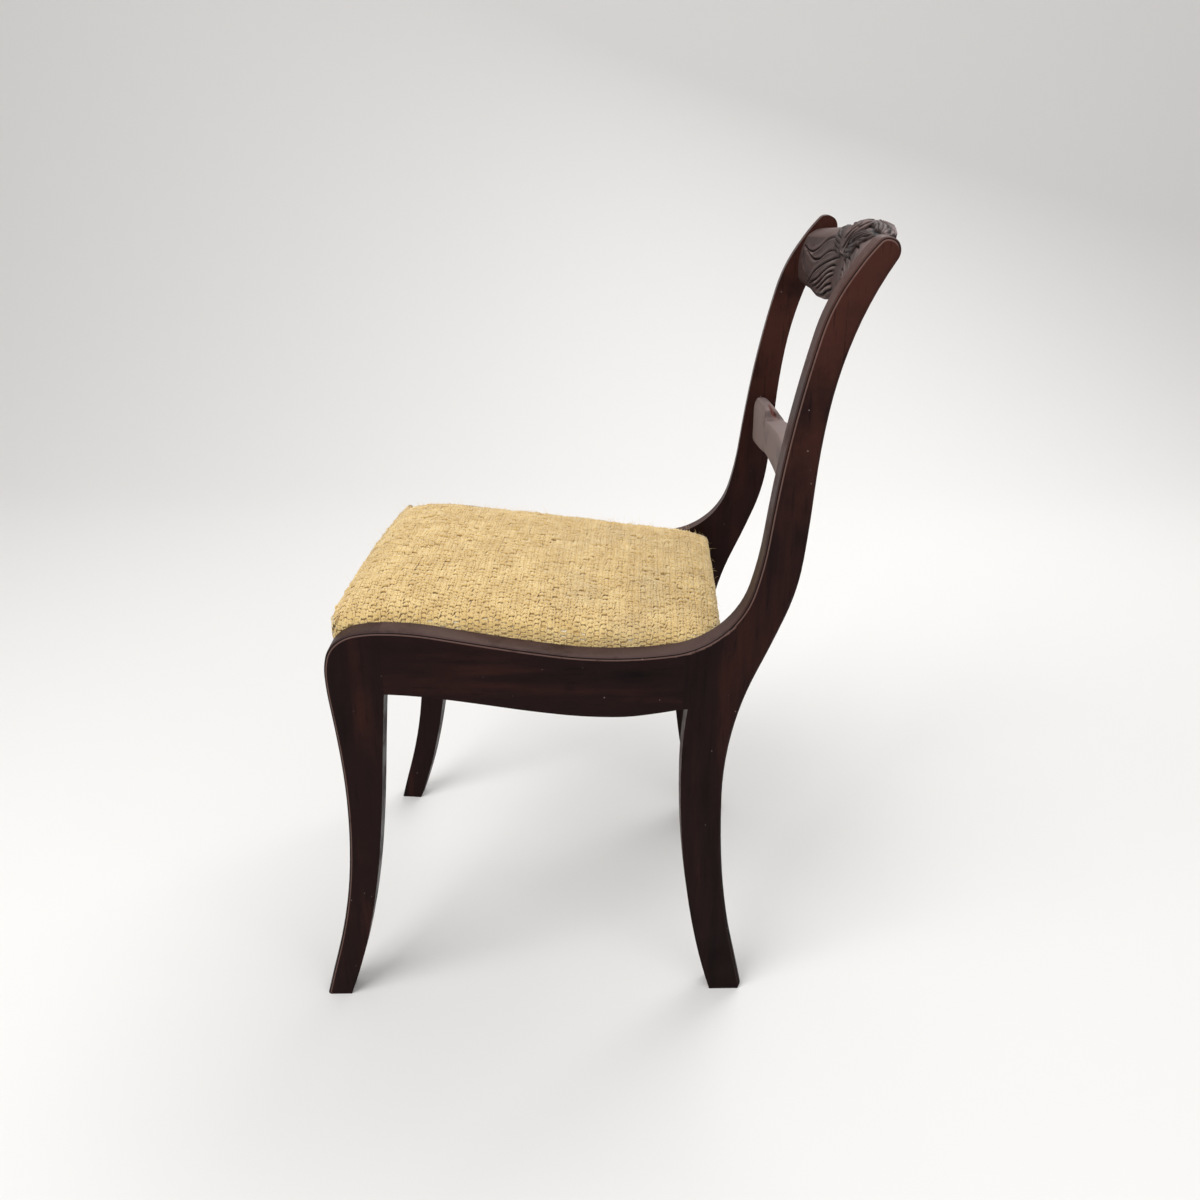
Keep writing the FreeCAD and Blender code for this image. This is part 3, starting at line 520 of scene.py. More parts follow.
# grooves of one half, each as (distance from the middle, height), in millimetres
crestGrooves = [
    [(158, 808.5), (150, 806.5), (136, 804), (124, 805), (109, 810.4), (97, 818), (83, 822.6), (60, 824)],
    [(146, 803.5), (135, 800.6), (115, 796.7), (94, 799.3), (81, 805), (68, 809.5), (44, 811.5)],
    [(155, 802), (152, 794), (146, 787), (140, 782)],
    [(128, 770), (118, 775), (101, 785.5), (70, 796.5), (36, 804.1), (14, 807)],
    [(120, 769), (100, 774.5), (86, 779), (63, 789.1), (38, 796.5), (19, 797.5)],
    [(104, 767.5), (91, 770.5), (70, 778.5), (50, 787.6), (24, 792.5)],
    [(88, 766.5), (76, 770), (60, 777.2), (44, 783.5), (24, 788)],
    [(70, 766), (62, 769.5), (52, 773.5), (40, 776.5), (30, 778)],
    [(122, 764.5), (100, 761), (80, 760.5), (62, 763), (48, 767.5), (34, 770.5), (22, 774)],
]

# leaves of one half: midrib as (distance from the middle, place over the roll, minus in front),
# in millimetres, then half width and lift in metres
crestLeaves = [
    ([(3, -37), (26, -33), (50, -25), (76, -13)], 0.0138, 0.0034),
    ([(8, 2), (34, 5), (60, 6), (88, 4)], 0.0125, 0.0044),
]

# rings of petals from the outside in: inner and outer radius as shares, lift, petals, turn
rosePetals = [(0.52, 1.0, 0.60, 5, 0.30), (0.24, 0.68, 0.86, 5, 0.93), (0.0, 0.36, 1.0, 3, 0.2)]


def sectionRing(tree, x, middleY, middleZ, rays):
    # where rays that come in towards the middle of the section meet the solid, in order around it
    outside = 0.08           # they start this far out, so none starts inside a dowel hole
    middle = Vector((x, middleY, middleZ))
    ring = []
    for step in range(rays):
        angle = 2 * math.pi * step / rays
        way = Vector((0, math.sin(angle), -math.cos(angle)))
        hit = tree.ray_cast(middle + way * outside, -way)[0]
        ring.append(hit[1:] if hit else (middleY, middleZ))
    return np.array(ring)


def evenly(ring, count, start, dense):
    # the closed ring again, from the given corner, with closer steps where dense is high
    first = int(np.argmin(np.linalg.norm(ring - start, axis=1)))
    ring = np.roll(ring, -first, axis=0)
    closed = np.vstack([ring, ring[:1]])
    run = runOf(stepsOf(closed) * np.roll(dense, -first))
    return pointsAt(closed, run, np.linspace(0, run[-1], count + 1)[:-1])


def curveThrough(points, count=60):
    # a smooth line through listed points, which are given in millimetres
    points = np.array(points, float) / 1000
    points = np.array(points, float)
    padded = np.vstack([2 * points[0] - points[1], points, 2 * points[-1] - points[-2]])
    result = []
    per = max(2, count // (len(points) - 1))
    for k in range(len(points) - 1):
        p0, p1, p2, p3 = padded[k:k + 4]
        for t in np.linspace(0, 1, per, endpoint=False):
            result.append(0.5 * (2 * p1 + (p2 - p0) * t + (2 * p0 - 5 * p1 + 4 * p2 - p3) * t * t
                                 + (3 * p1 - p0 - 3 * p2 + p3) * t ** 3))
    result.append(points[-1])
    return np.array(result)


def distanceTo(line, across, up):
    # how far each point lies from a line, and how far along the line, from 0 to 1
    best = np.full(across.shape, 1.0)
    where = np.zeros(across.shape)
    for k in range(len(line) - 1):
        ax, ay = line[k]
        bx, by = line[k + 1]
        size = (bx - ax) ** 2 + (by - ay) ** 2
        t = np.clip(((across - ax) * (bx - ax) + (up - ay) * (by - ay)) / max(size, 1e-12), 0, 1)
        d = np.hypot(across - ax - t * (bx - ax), up - ay - t * (by - ay))
        closer = d < best
        best[closer] = d[closer]
        where[closer] = ((k + t) / (len(line) - 1))[closer]
    return best, where


def withEnds(points, gap=0.0004):
    # one more ring at each end, lying flat against the post
    ends = []
    for last in (points[0], points[-1]):
        ring = last.copy()
        ring[:, 0] = np.sign(last[:, 0]) * (innerX(ring[:, 1]) - gap)
        ends.append(ring[None])
    return np.vstack([ends[0], points, ends[1]])


def tapered(where, edge, power):
    # full in the middle of a line, fading out to its ends
    return np.sin(np.clip(where, edge, 1 - edge) * math.pi) ** power


def roseRelief(across, up):
    radius = np.hypot(across, up)
    angle = np.arctan2(up, across)
    size = crest["roseRadius"]
    overlap, bluntness = 1.22, 0.16      # petals lie over each other, and their tips are broad
    height = np.zeros(across.shape)
    for inner, outer, lift, count, turn in rosePetals:
        for petal in range(count):
            middle = 2 * math.pi * petal / count + turn
            off = np.angle(np.exp(1j * (angle - middle)))
            side = np.clip(1 - (off / (math.pi / count * overlap)) ** 2, 0, 1)
            reach = outer * size * side ** bluntness
            inside = smoothStep(-0.0007, 0.0011, reach - radius) * smoothStep(0.0, 0.10, side)
            bowl = np.clip((radius / size - inner) / max(outer - inner, 0.01), 0, 1)
            shape = lift - 0.36 * (1 - bowl) ** 2 + 0.08 * side - 0.16 * bowl ** 6
            height = np.maximum(height, inside * np.clip(shape, 0.04, 1.2))
    return height * crest["roseRelief"]


def leafRelief(across, up, line, half, lift):
    # a leaf laid on the surface, with a midrib, long slanting veins and a lobed edge
    lobeCount, cut = 2.5, 0.0017
    distance, along = distanceTo(curveThrough(line), across, up)
    lobes = 0.92 + 0.20 * np.abs(np.sin(along * math.pi * lobeCount))
    wide = half * np.sin(math.pi * np.clip(0.12 + 0.84 * along, 0, 1)) ** 0.6 * lobes
    inside = smoothStep(-0.0006, 0.0012, wide - distance)
    veins = bell(np.sin((distance * 3.0 / half - along * lobeCount) * math.pi), 0, 0.42)
    body = lift * (0.62 + 0.38 * np.sin(np.clip(distance / np.maximum(wide, 1e-4), 0, 1) * math.pi))
    body = body - cut * veins * smoothStep(0.0006, 0.0016, distance) - cut * bell(distance, 0, 0.0010)
    return inside * np.clip(body, 0.0003, 1)


def softened(grid, passes):
    result = grid
    for step in range(passes):
        result = evened(result, 1)
        result = (np.roll(result, 1, axis=1) + 2 * result + np.roll(result, -1, axis=1)) / 4
    return result


def stackedRings(xs, rings):
    return np.dstack([np.repeat(xs[:, None], rings.shape[1], axis=1), rings])


def outwardNormals(points):
    ahead = np.roll(points, -1, axis=1) - np.roll(points, 1, axis=1)
    normals = np.cross(np.gradient(points, axis=0), ahead)
    normals /= np.maximum(np.linalg.norm(normals, axis=2), 1e-12)[:, :, None]
    if ((points - points.mean(axis=1, keepdims=True)) * normals).sum() < 0:
        normals = -normals
    return normals


def ringPiece(name, points, marks, material):
    # a closed piece from rings of points, with its colour marks kept as attributes
    points = withEnds(points)
    columns, around = points.shape[:2]
    index = np.arange(columns * around).reshape(columns, around)
    a, b = index[:-1], index[1:]
    faces = np.stack([a, b, np.roll(b, -1, axis=1), np.roll(a, -1, axis=1)], axis=-1).reshape(-1, 4)
    piece = meshPiece(name, points.reshape(-1, 3), faces)
    for mark, values in marks.items():
        layer = piece.data.attributes.new(mark, "FLOAT", "POINT")
        values = np.vstack([values[:1], values, values[-1:]])
        layer.data.foreach_set("value", values.ravel().astype(np.float32))
    editMesh(piece, mergeDoubles, fillEnds, turnOutward)
    bpy.ops.object.shade_smooth_by_angle(angle=creaseAngle)
    piece.data.materials.append(material)
    return piece


def crestRings(xs, low, high):
    # the bowed, rolled body, read from the CAD solid
    tree = surfaceOf("crest_rail")
    middleZ = crest["middleZ"]
    rings = []
    for x in xs:
        share = min(1.0, abs(x) / high.x)
        middleY = low.y + crest["endDepth"] + crest["bow"] * (1 - share ** 2)
        ring = sectionRing(tree, x, middleY, middleZ, crest["rays"])
        corner = ring[np.argmin(ring[:, 1] + 0.12 * ring[:, 0])]
        fore = smoothStep(0.006, -0.002, ring[:, 0] - middleY)
        upper = smoothStep(0.016, 0.026, ring[:, 1] - middleZ)
        dense = 1 + (crest["frontShare"] - 1) * np.clip(fore + upper, 0, 1)
        rings.append(evenly(ring, crest["around"], corner, dense))
    return stackedRings(xs, evened(np.array(rings), 6))      # evens out the facets along its length


def overRoll(points, reach=20):
    # the way over the roll along the surface, from its highest line; minus is in front
    arc = np.cumsum(np.linalg.norm(np.diff(points, axis=1, prepend=points[:, :1]), axis=2), axis=1)
    top = np.array([row[np.argmax(heights)] for row, heights in zip(arc, points[:, :, 2])])
    spread = np.pad(top, reach, mode="edge")
    top = np.convolve(spread, np.ones(2 * reach + 1) / (2 * reach + 1), mode="valid")
    return top[:, None] - arc


def carvedCrest():
    low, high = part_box("crest_rail")
    whole = innerX(high.y) - endGap         # beyond this the end is cut at a slant
    points = crestRings(np.linspace(-whole, whole, crest["columns"] + 1), low, high)
    normals = outwardNormals(points)
    across = np.abs(points[:, :, 0])
    height = points[:, :, 2]
    front = smoothStep(-0.25, 0.15, -normals[:, :, 1] + 0.55 * normals[:, :, 2])

    # a small roll along the lower edge, then the grooves
    rollHeight, rollWidth, rollLift = crest["lowerRoll"]
    relief = rollLift * bell(height, rollHeight, rollWidth)
    relief = relief * smoothStep(0.132, 0.100, across) * smoothStep(0.018, 0.034, across)
    for line in crestGrooves:
        distance, where = distanceTo(curveThrough(line), across, height)
        ends = tapered(where, 0.04, 0.35)
        relief += crest["swell"] * ends * bell(distance, 0.0030, 0.0018)
        relief -= crest["grooveDepth"] * ends * bell(distance, 0, crest["grooveWidth"])

    # the rose and its leaves lie over the rolled top
    over = overRoll(points)
    onTop = smoothStep(-0.064, -0.056, over) * smoothStep(0.030, 0.022, over)
    leaves = np.zeros(across.shape)
    for line, half, lift in crestLeaves:
        leaves = np.maximum(leaves, leafRelief(across, over, line, half, lift))
    relief = np.where(leaves > 0.0002, np.maximum(leaves * onTop, relief * (1 - onTop)), relief)
    rose = roseRelief(points[:, :, 0], over - crest["rosePlace"])
    relief = np.where(rose > 0.0003, rose, relief)
    mound = smoothStep(-0.050, -0.022, over) * smoothStep(0.026, 0.006, over)
    relief += crest["mound"] * smoothStep(0.090, 0.016, across) * mound
    relief *= front * smoothStep(0.0, 0.004, whole - across)
    points += normals * relief[:, :, None]

    lower = softened(relief, 14) - relief
    # painted shade on the leaves in front of the roll's top
    leafy = crest["leafShade"] * smoothStep(0.0, 0.0006, leaves * onTop) * smoothStep(0.004, -0.004, over)
    # recesses darkened: dark polish and painted shade
    hollowPolishAndShade = np.maximum(smoothStep(0.00015, 0.00090, lower), leafy * (rose <= 0.0003))
    proud = smoothStep(0.0003, 0.0014, -lower)
    marks = {"hollowPolishAndShade": hollowPolishAndShade, "proud": proud, "bare": np.zeros(relief.shape)}
    return ringPiece("carvedCrest", points, marks, crestWood)


crestPiece = carvedCrest()
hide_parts("crest_rail")
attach(crestPiece, "chair_frame")
print("crest carved:", len(crestPiece.data.polygons), "faces")


# the lower back rail, with its scrolled ends
lowerRail = {
    "around": 132,
    "probeZ": 0.590,          # the height at which its front is looked for
    "middle": (0.0105, 0.592),    # a point inside every section: its place behind the front, its height
    "notch": 0.1138,          # the scroll steps down here, this far from the middle
    "blendPasses": 90,        # how softly the front face runs past the step
    "stepPasses": 26,         # how soft the step itself is
    "topRound": 14, "underRound": 6,      # rounding of its upper and lower edges
    "crown": 0.0044, "fall": 0.0075,      # how far the scroll's top stands up in front and drops behind
    # where its sections are taken, closest at the step: from, to and how many; the last go on to the end
    "stations": [(0, 0.096, 62), (0.0965, 0.146, 96)], "lastStations": (0.1475, 20),
    # the eye of the scroll as (distance from the middle, place behind the front), in millimetres
    "eye": [(138.5, 10.8), (128, 10.1), (118.5, 10.2), (115.2, 11.6), (114, 14.6)],
    "eyeDepth": 0.0024, "eyeWidth": 0.0011,
}


def relaxed(rows, passes, share=0.5):
    # as evened, with a share of its own for each row
    result = rows.copy()
    for step in range(passes):
        result[1:-1] += share * ((result[:-2] + result[2:]) / 2 - result[1:-1])
    return result


def lowerRailStations():
    # places along its length, from one end to the other
    outerEnd = innerX(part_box("lower_back_rail")[1].y) - endGap
    outerStart, count = lowerRail["lastStations"]
    spans = lowerRail["stations"] + [(outerStart, outerEnd, count)]
    oneSide = np.concatenate([np.linspace(*span) for span in spans])
    return np.concatenate([-oneSide[::-1], oneSide[1:]])


def scrolledRail():
    tree = surfaceOf("lower_back_rail")
    xs = lowerRailStations()
    away = np.abs(xs)
    notch = lowerRail["notch"]
    fronts = hitsAlong(tree, [(x, 0.15, lowerRail["probeZ"]) for x in xs], (0, 1, 0))
    inside, middleZ = lowerRail["middle"]
    sharp = np.array([sectionRing(tree, x, frontY + inside, middleZ, lowerRail["around"])
                      for x, frontY in zip(xs, fronts)])

    # the front face runs on evenly past the step that the scroll has on top and behind
    share = np.minimum(1, (0.0006 / np.gradient(xs)[1:-1]) ** 2)[:, None, None] * 0.5
    smooth = relaxed(sharp, lowerRail["blendPasses"], share)
    stepped = relaxed(sharp, lowerRail["stepPasses"])
    depth = sharp[:, :, 0] - fronts[:, None]
    frontPart = smoothStep(0.0125, 0.0085, depth) * smoothStep(0.594, 0.600, sharp[:, :, 1])
    nearNotch = smoothStep(0.030, 0.018, notch - away)[:, None]
    blend = (frontPart * nearNotch)[:, :, None]
    rings = stepped * (1 - blend) + smooth * blend
    tops, leading = rings[:, :, 1].max(axis=1), rings[:, :, 0].min(axis=1)

    # round the edges within each section, and keep its top and its front where they were
    for step in range(lowerRail["topRound"]):
        moved = (np.roll(rings, 1, axis=1) + np.roll(rings, -1, axis=1)) / 2
        upper = smoothStep(0.588, 0.598, rings[:, :, 1])
        share = 0.5 * np.maximum(upper, 1.0 if step < lowerRail["underRound"] else 0.0)
        rings += share[:, :, None] * (moved - rings)
    upper = smoothStep(0.582, 0.600, rings[:, :, 1])
    rings[:, :, 1] += (tops - rings[:, :, 1].max(axis=1))[:, None] * upper
    rings[:, :, 0] += (leading - rings[:, :, 0].min(axis=1))[:, None]

    # the scroll crowns over its front half and rolls away to the back
    behind = rings[:, :, 0] - fronts[:, None]
    crown = lowerRail["crown"] * smoothStep(-0.001, 0.005, behind) * smoothStep(0.023, 0.011, behind)
    fall = lowerRail["fall"] * smoothStep(0.016, 0.027, behind)
    scroll = smoothStep(notch - 0.003, notch + 0.005, away)[:, None]
    rings[:, :, 1] += (crown - fall) * scroll * smoothStep(0.596, 0.612, rings[:, :, 1])

    # its eye is a curled groove with a low ridge behind it
    points = stackedRings(xs, rings)
    normals = outwardNormals(points)
    distance, where = distanceTo(curveThrough(lowerRail["eye"], 40), np.abs(points[:, :, 0]), behind)
    shown = tapered(where, 0.05, 0.4) * smoothStep(0.1, 0.5, normals[:, :, 2])
    groove = bell(distance, 0, lowerRail["eyeWidth"]) * shown
    ridge = bell(distance, 0.0026, 0.0013) * shown * (behind > 0.0115)
    points += normals * (0.0007 * ridge - lowerRail["eyeDepth"] * groove)[:, :, None]
    bare = np.clip(groove * 0.9 + ridge * 0.22, 0, 1)
    # the groove's slight darkening is dark polish and painted shade
    marks = {"hollowPolishAndShade": groove * 0.25, "bare": bare, "proud": ridge * 0.6}
    return ringPiece("scrolledRail", points, marks, slatWood)


lowerRailPiece = scrolledRail()
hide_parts("lower_back_rail")
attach(lowerRailPiece, "chair_frame")
print("lower back rail shaped:", len(lowerRailPiece.data.polygons), "faces")


# the lined pad
pad = {
    "voxel": 0.0055, "pressure": 4.0, "frames": 20, "cap": 0.003, "pinBelow": 0.004,
    # the corners seen from above: side, radius over the seat line, share of it that is left under the line
    "corners": [(-1, 0.010, 0.62), (1, 0.057, 0.12)],
    "frontBulge": 0.0022,
    "smoothing": (0.5, 5),    # how strongly and how often it is evened out
    "tuck": 0.0025,           # the wool presses it in by this much
}


def roundedCorners(points):
    # draw the corners of the seat in to a round; -1 is the front side and 1 the back
    result = points.copy()
    for ahead, radius, lowShare in pad["corners"]:
        edge = coverLow.y if ahead < 0 else coverHigh.y
        above = smoothStep(-0.008, 0.004, result[:, 2] - seatLine(result[:, 1]))
        size = radius * (lowShare + (1 - lowShare) * above)
        middleX = wallX(result[:, 1]) - size
        middleY = edge - ahead * size
        dx = np.abs(result[:, 0]) - middleX
        dy = (result[:, 1] - middleY) * ahead
        far = np.hypot(dx, dy)
        both = (dx > 0) & (dy > 0) & (far > size)
        pull = np.where(both, size / np.maximum(far, 1e-9), 1)
        result[:, 0] = np.where(both, np.sign(result[:, 0]) * (middleX + dx * pull), result[:, 0])
        result[:, 1] = np.where(both, middleY + ahead * dy * pull, result[:, 1])
    return result


def bulgedFront(points):
    # the front edge swells forward in the middle
    result = points.copy()
    across = np.clip(1 - (result[:, 0] / (wallX(coverLow.y) - 0.012)) ** 2, 0, 1)
    height = bell(result[:, 2] - seatLine(result[:, 1]), 0.003, 0.0095)
    near = smoothStep(0.055, 0.0, result[:, 1] - coverLow.y)
    result[:, 1] -= pad["frontBulge"] * across * height * near
    return result


def bareCopy(name):
    # a free copy of a CAD node's mesh
    copy = bpy.data.objects.new(name + "Copy", cadNodes[name].data.copy())
    bpy.context.scene.collection.objects.link(copy)
    return copy


def linedPad():
    # the stuffing under its calico as one even mesh
    copies = [bareCopy("padding"), bareCopy("lining")]
    pick(copies[0])
    copies[1].select_set(True)
    bpy.ops.object.join()
    piece = bpy.context.view_layer.objects.active
    piece.name = "linedPad"
    editMesh(piece, mergeDoubles)
    remesh = piece.modifiers.new("evenMesh", "REMESH")
    remesh.mode = "VOXEL"
    remesh.voxel_size = pad["voxel"]
    applyModifiers(piece)
    return piece


def swell(piece):
    # the stuffing presses the calico outwards; below the seat line the frame holds it
    rest = pointsOf(piece)
    held = piece.vertex_groups.new(name="held")
    for k in np.nonzero(rest[:, 2] < seatLine(rest[:, 1]) + pad["pinBelow"])[0]:
        held.add([int(k)], 1.0, "REPLACE")
    pick(piece)
    cloth = piece.modifiers.new("swelling", "CLOTH")
    cloth.settings.use_pressure = True
    cloth.settings.uniform_pressure_force = pad["pressure"]
    cloth.settings.vertex_group_mass = "held"
    cloth.settings.effector_weights.gravity = 0
    cloth.settings.quality = 6
    cloth.point_cache.frame_end = pad["frames"]
    for number in range(1, pad["frames"] + 1):
        bpy.context.scene.frame_set(number)
    shaped = piece.evaluated_get(bpy.context.evaluated_depsgraph_get())
    moved = np.array([v.co[:] for v in shaped.data.vertices]) - rest
    piece.modifiers.remove(cloth)
    bpy.context.scene.frame_set(1)
    far = np.linalg.norm(moved, axis=1)[:, None]
    movePoints(piece, rest + moved * np.minimum(1, pad["cap"] / np.maximum(far, 1e-9)))


padPiece = linedPad()
swell(padPiece)
pick(padPiece)
smoother = padPiece.modifiers.new("evenOut", "SMOOTH")
smoother.factor, smoother.iterations = pad["smoothing"]
finer = padPiece.modifiers.new("finer", "SUBSURF")
finer.levels = 1
finer.render_levels = 1
applyModifiers(padPiece)
movePoints(padPiece, bulgedFront(roundedCorners(pointsOf(padPiece))))
bpy.ops.object.shade_smooth()
padPiece.data.materials.clear()
padPiece.data.materials.append(calico)
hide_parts("padding", "lining")
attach(padPiece, "slip_seat")
print("pad shaped:", len(padPiece.data.polygons), "faces")


# the crochet cover
crochet = {
    "rowPitch": 0.0069, "stitchPitch": 0.0051,
    "yarnRadius": 0.00122, "yarnSides": 6,
    "ground": (0.0003, 0.0013),   # the matted backs of the stitches, above the calico
    "wall": 0.0286,               # down each wall of the seat, from the seat line to the hem
    "hemSide": 0.0262, "hemEnd": 0.0370,
    "thick": 0.0026,
    "crownStart": 0.003,          # the walls give way to the crown this far under the seat line
    "padMargin": 0.0056,          # the crown is read this far inside the pad's front and back
    "flat": 0.42,                 # how far the wool is squeezed on the walls
    "wander": 0.0011,             # rows waver by this much
    "slack": 0.020,               # share of stitches that have sunk
    # unevenness of hand work, across, along and out of the row: of a stitch's size, then of its place
    "across": (0.09, 0.060), "along": (0.07, 0.07), "out": (0.13, 0.00018), "lean": 0.12,
    "seed": 7,
}
fibre = {
    "count": 12000, "radius": 0.00010, "short": 0.0025, "longer": 0.0085,
    "scatter": 0.0025, "root": 0.0024,     # how far beside its stitch and over the calico it starts
    "curl": 0.45, "droop": 0.35,
    "thinning": [(0, 1.0), (0.35, 1.0), (0.7, 0.85), (1, 0.5)],     # place along it, share of the radius
}
rng = np.random.default_rng(crochet["seed"])


def seatSection(tree, y, rays=170):
    # hem, wall, crown, wall and hem across the seat at one depth, as one smooth line
    line = seatLine(y)
    half = wallX(y) - crochet["thick"]
    base = line - crochet["crownStart"]
    low = line - crochet["wall"]
    inside = min(max(y, coverLow.y + crochet["padMargin"]), coverHigh.y - crochet["padMargin"])
    crown = []
    for step in range(rays + 1):
        angle = math.pi * step / rays
        hit = tree.ray_cast(Vector((0, inside, base)), Vector((math.cos(angle), 0, math.sin(angle))))[0]
        if hit:
            crown.append((hit.x, hit.z))
    crown = np.array(crown)
    # its lowest points are drawn out to the walls
    missing = half - np.abs(crown[[0, -1], 0]).min()
    drawn = smoothStep(0.014, 0.0, crown[:, 1] - base) * (np.abs(crown[:, 0]) > half * 0.6)
    crown[:, 0] += np.sign(crown[:, 0]) * missing * drawn
    hem = [(x, low - 0.0002) for x in np.linspace(half - crochet["hemSide"], half, 12)]
    wall = [(half, z) for z in np.linspace(low, base, 14)[:-1]]
    side = np.array(hem + wall)
    section = np.vstack([side, crown[:-1], side[::-1] * np.array([-1, 1])])
    keep = smoothStep(base - 0.006, base, section[:, 1])[:, None]
    return section * (1 - keep) + evened(section, 6) * keep


def fullness(grid):
    # how thick the wool lies: squeezed on the walls and hems, full on top
    above = grid[:, :, 2] - seatLine(grid[:, :, 1])
    share = smoothStep(-0.004, 0.004, above)
    return crochet["flat"] + (1 - crochet["flat"]) * share


def coverGrid():
    # corners of all the stitches in the rows from the front edge to the back edge
    mesh = padPiece.data
    tree = BVHTree.FromPolygons([v.co for v in mesh.vertices], [p.vertices[:] for p in mesh.polygons])
    ys = np.linspace(coverLow.y + crochet["thick"], coverHigh.y - crochet["thick"], 200)
    spine = hitsAlong(tree, [(0, y, 0.6) for y in ys], (0, 0, -1))
    run = runOf(np.hypot(np.diff(ys), np.diff(spine)))
    rows = int(round(run[-1] / crochet["rowPitch"]))
    rowYs = np.interp(np.linspace(0, run[-1], rows + 1), run, ys)
    sections = [seatSection(tree, y) for y in rowYs]
    length = np.mean([stepsOf(section).sum() for section in sections])
    columns = int(round(length / crochet["stitchPitch"] / 2)) * 2
    grid = []
    for y, section in zip(rowYs, sections):
        run = runOf(stepsOf(section))
        even = pointsAt(section, run, np.linspace(0, 1, columns + 1) * run[-1])
        grid.append(np.column_stack([even[:, 0], np.full(columns + 1, y), even[:, 1]]))
    grid = np.array(grid)
    # the outermost rows bend down a little over the front and back edges
    above = grid[[0, -1], :, 2] - seatLine(rowYs[[0, -1]])[:, None]
    grid[[0, -1], :, 2] -= 0.0012 * smoothStep(0.0, 0.004, above)
    return grid


def topColumns(grid):
    # the columns of a row that lie above the hem walls
    row = grid[len(grid) // 2]
    above = row[:, 2] - seatLine(row[:, 1])
    marked = np.nonzero(above > -0.0035)[0]
    return marked[0], marked[-1] + 1


def endGrid(grid, ahead):
    # the rows that go down the front or back wall and turn in under the frame
    first, last = topColumns(grid)
    row = (grid[0] if ahead < 0 else grid[-1])[first:last]
    y = row[0, 1]
    low = seatLine(y) - crochet["wall"]
    wallRows = int(round((row[:, 2].max() - low) / crochet["rowPitch"]))
    hemRows = int(round(crochet["hemEnd"] / crochet["rowPitch"]))
    edge = wallX(y) - crochet["thick"]
    xs = edge * np.linspace(np.sign(row[0, 0]), np.sign(row[-1, 0]), len(row))
    rows = [row]
    for k in range(1, wallRows + 1):
        share = k / wallRows
        settled = smoothStep(0.0, 0.7, share)
        height = row[:, 2] * (1 - share) + low * share
        across = row[:, 0] * (1 - settled) + xs * settled
        rows.append(np.column_stack([across, np.full(len(row), y), height]))
    for k in range(1, hemRows + 1):
        inward = y - ahead * crochet["hemEnd"] * k / hemRows
        narrow = xs * (wallX(inward) - crochet["thick"] - 0.0002) / edge * 0.86
        under = np.full(len(row), seatLine(inward) - crochet["wall"] - 0.0002)
        rows.append(np.column_stack([narrow, np.full(len(row), inward), under]))
    return np.array(rows)


def gridNormals(grid, outward):
    across = np.gradient(grid, axis=1)
    along = np.gradient(grid, axis=0)
    normals = np.cross(across, along)
    normals /= np.maximum(np.linalg.norm(normals, axis=2), 1e-12)[:, :, None]
    if (normals * outward).sum() < 0:
        normals = -normals
    return normals


def strand(path, radius):
    # a short length of yarn as a closed tube
    sides = crochet["yarnSides"]
    tangents = np.gradient(path, axis=0)
    tangents /= np.linalg.norm(tangents, axis=1)[:, None]
    points, faces = [], []
    for place, t, r in zip(path, tangents, radius):
        ref = np.array([0, 0, 1.0]) if abs(t[2]) < 0.8 else np.array([1.0, 0, 0])
        u = np.cross(t, ref)
        u /= np.linalg.norm(u)
        v = np.cross(t, u)
        for s in range(sides):
            angle = 2 * math.pi * s / sides
            points.append(place + r * (math.cos(angle) * u + math.sin(angle) * v))
    for k in range(len(path) - 1):
        for s in range(sides):
            n = (s + 1) % sides
            faces.append((k * sides + s, (k + 1) * sides + s, (k + 1) * sides + n, k * sides + n))
    last = (len(path) - 1) * sides
    for s in range(1, sides - 2, 2):      # both ends closed with quads
        faces.append((0, s, s + 1, s + 2))
        faces.append((last, last + s + 2, last + s + 1, last + s))
    return np.array(points), faces


def stitchShape():
    # one stitch in its own cell: a fat post of two strands, and the loop it hangs from
    cell = np.array([crochet["stitchPitch"], crochet["rowPitch"], 1])
    strands = []
    for lean, lift in ((-1, 0.0), (1, 0.0002)):
        post = [(0.50 + lean * 0.04, -0.06, 0.0009), (0.50 + lean * 0.15, 0.16, 0.0021 + lift),
                (0.50 + lean * 0.19, 0.40, 0.0027 + lift), (0.50 + lean * 0.13, 0.64, 0.0021),
                (0.50 + lean * 0.03, 0.84, 0.0009)]
        strands.append((post, [0.62, 1.02, 1.22, 1.02, 0.62]))
    loop = [(-0.10, 0.84, 0.0010), (0.20, 0.86, 0.0023), (0.50, 0.93, 0.0029), (0.80, 1.00, 0.0023),
            (1.08, 1.02, 0.0010)]
    strands.append((loop, [0.60, 0.90, 1.02, 0.92, 0.60]))
    points, faces, base = [], [], 0
    for path, radii in strands:
        p, f = strand(np.array(path) * cell, np.array(radii) * crochet["yarnRadius"])
        points.append(p)
        faces += [tuple(i + base for i in face) for face in f]
        base += len(p)
    return np.vstack(points) / cell, np.array(faces)


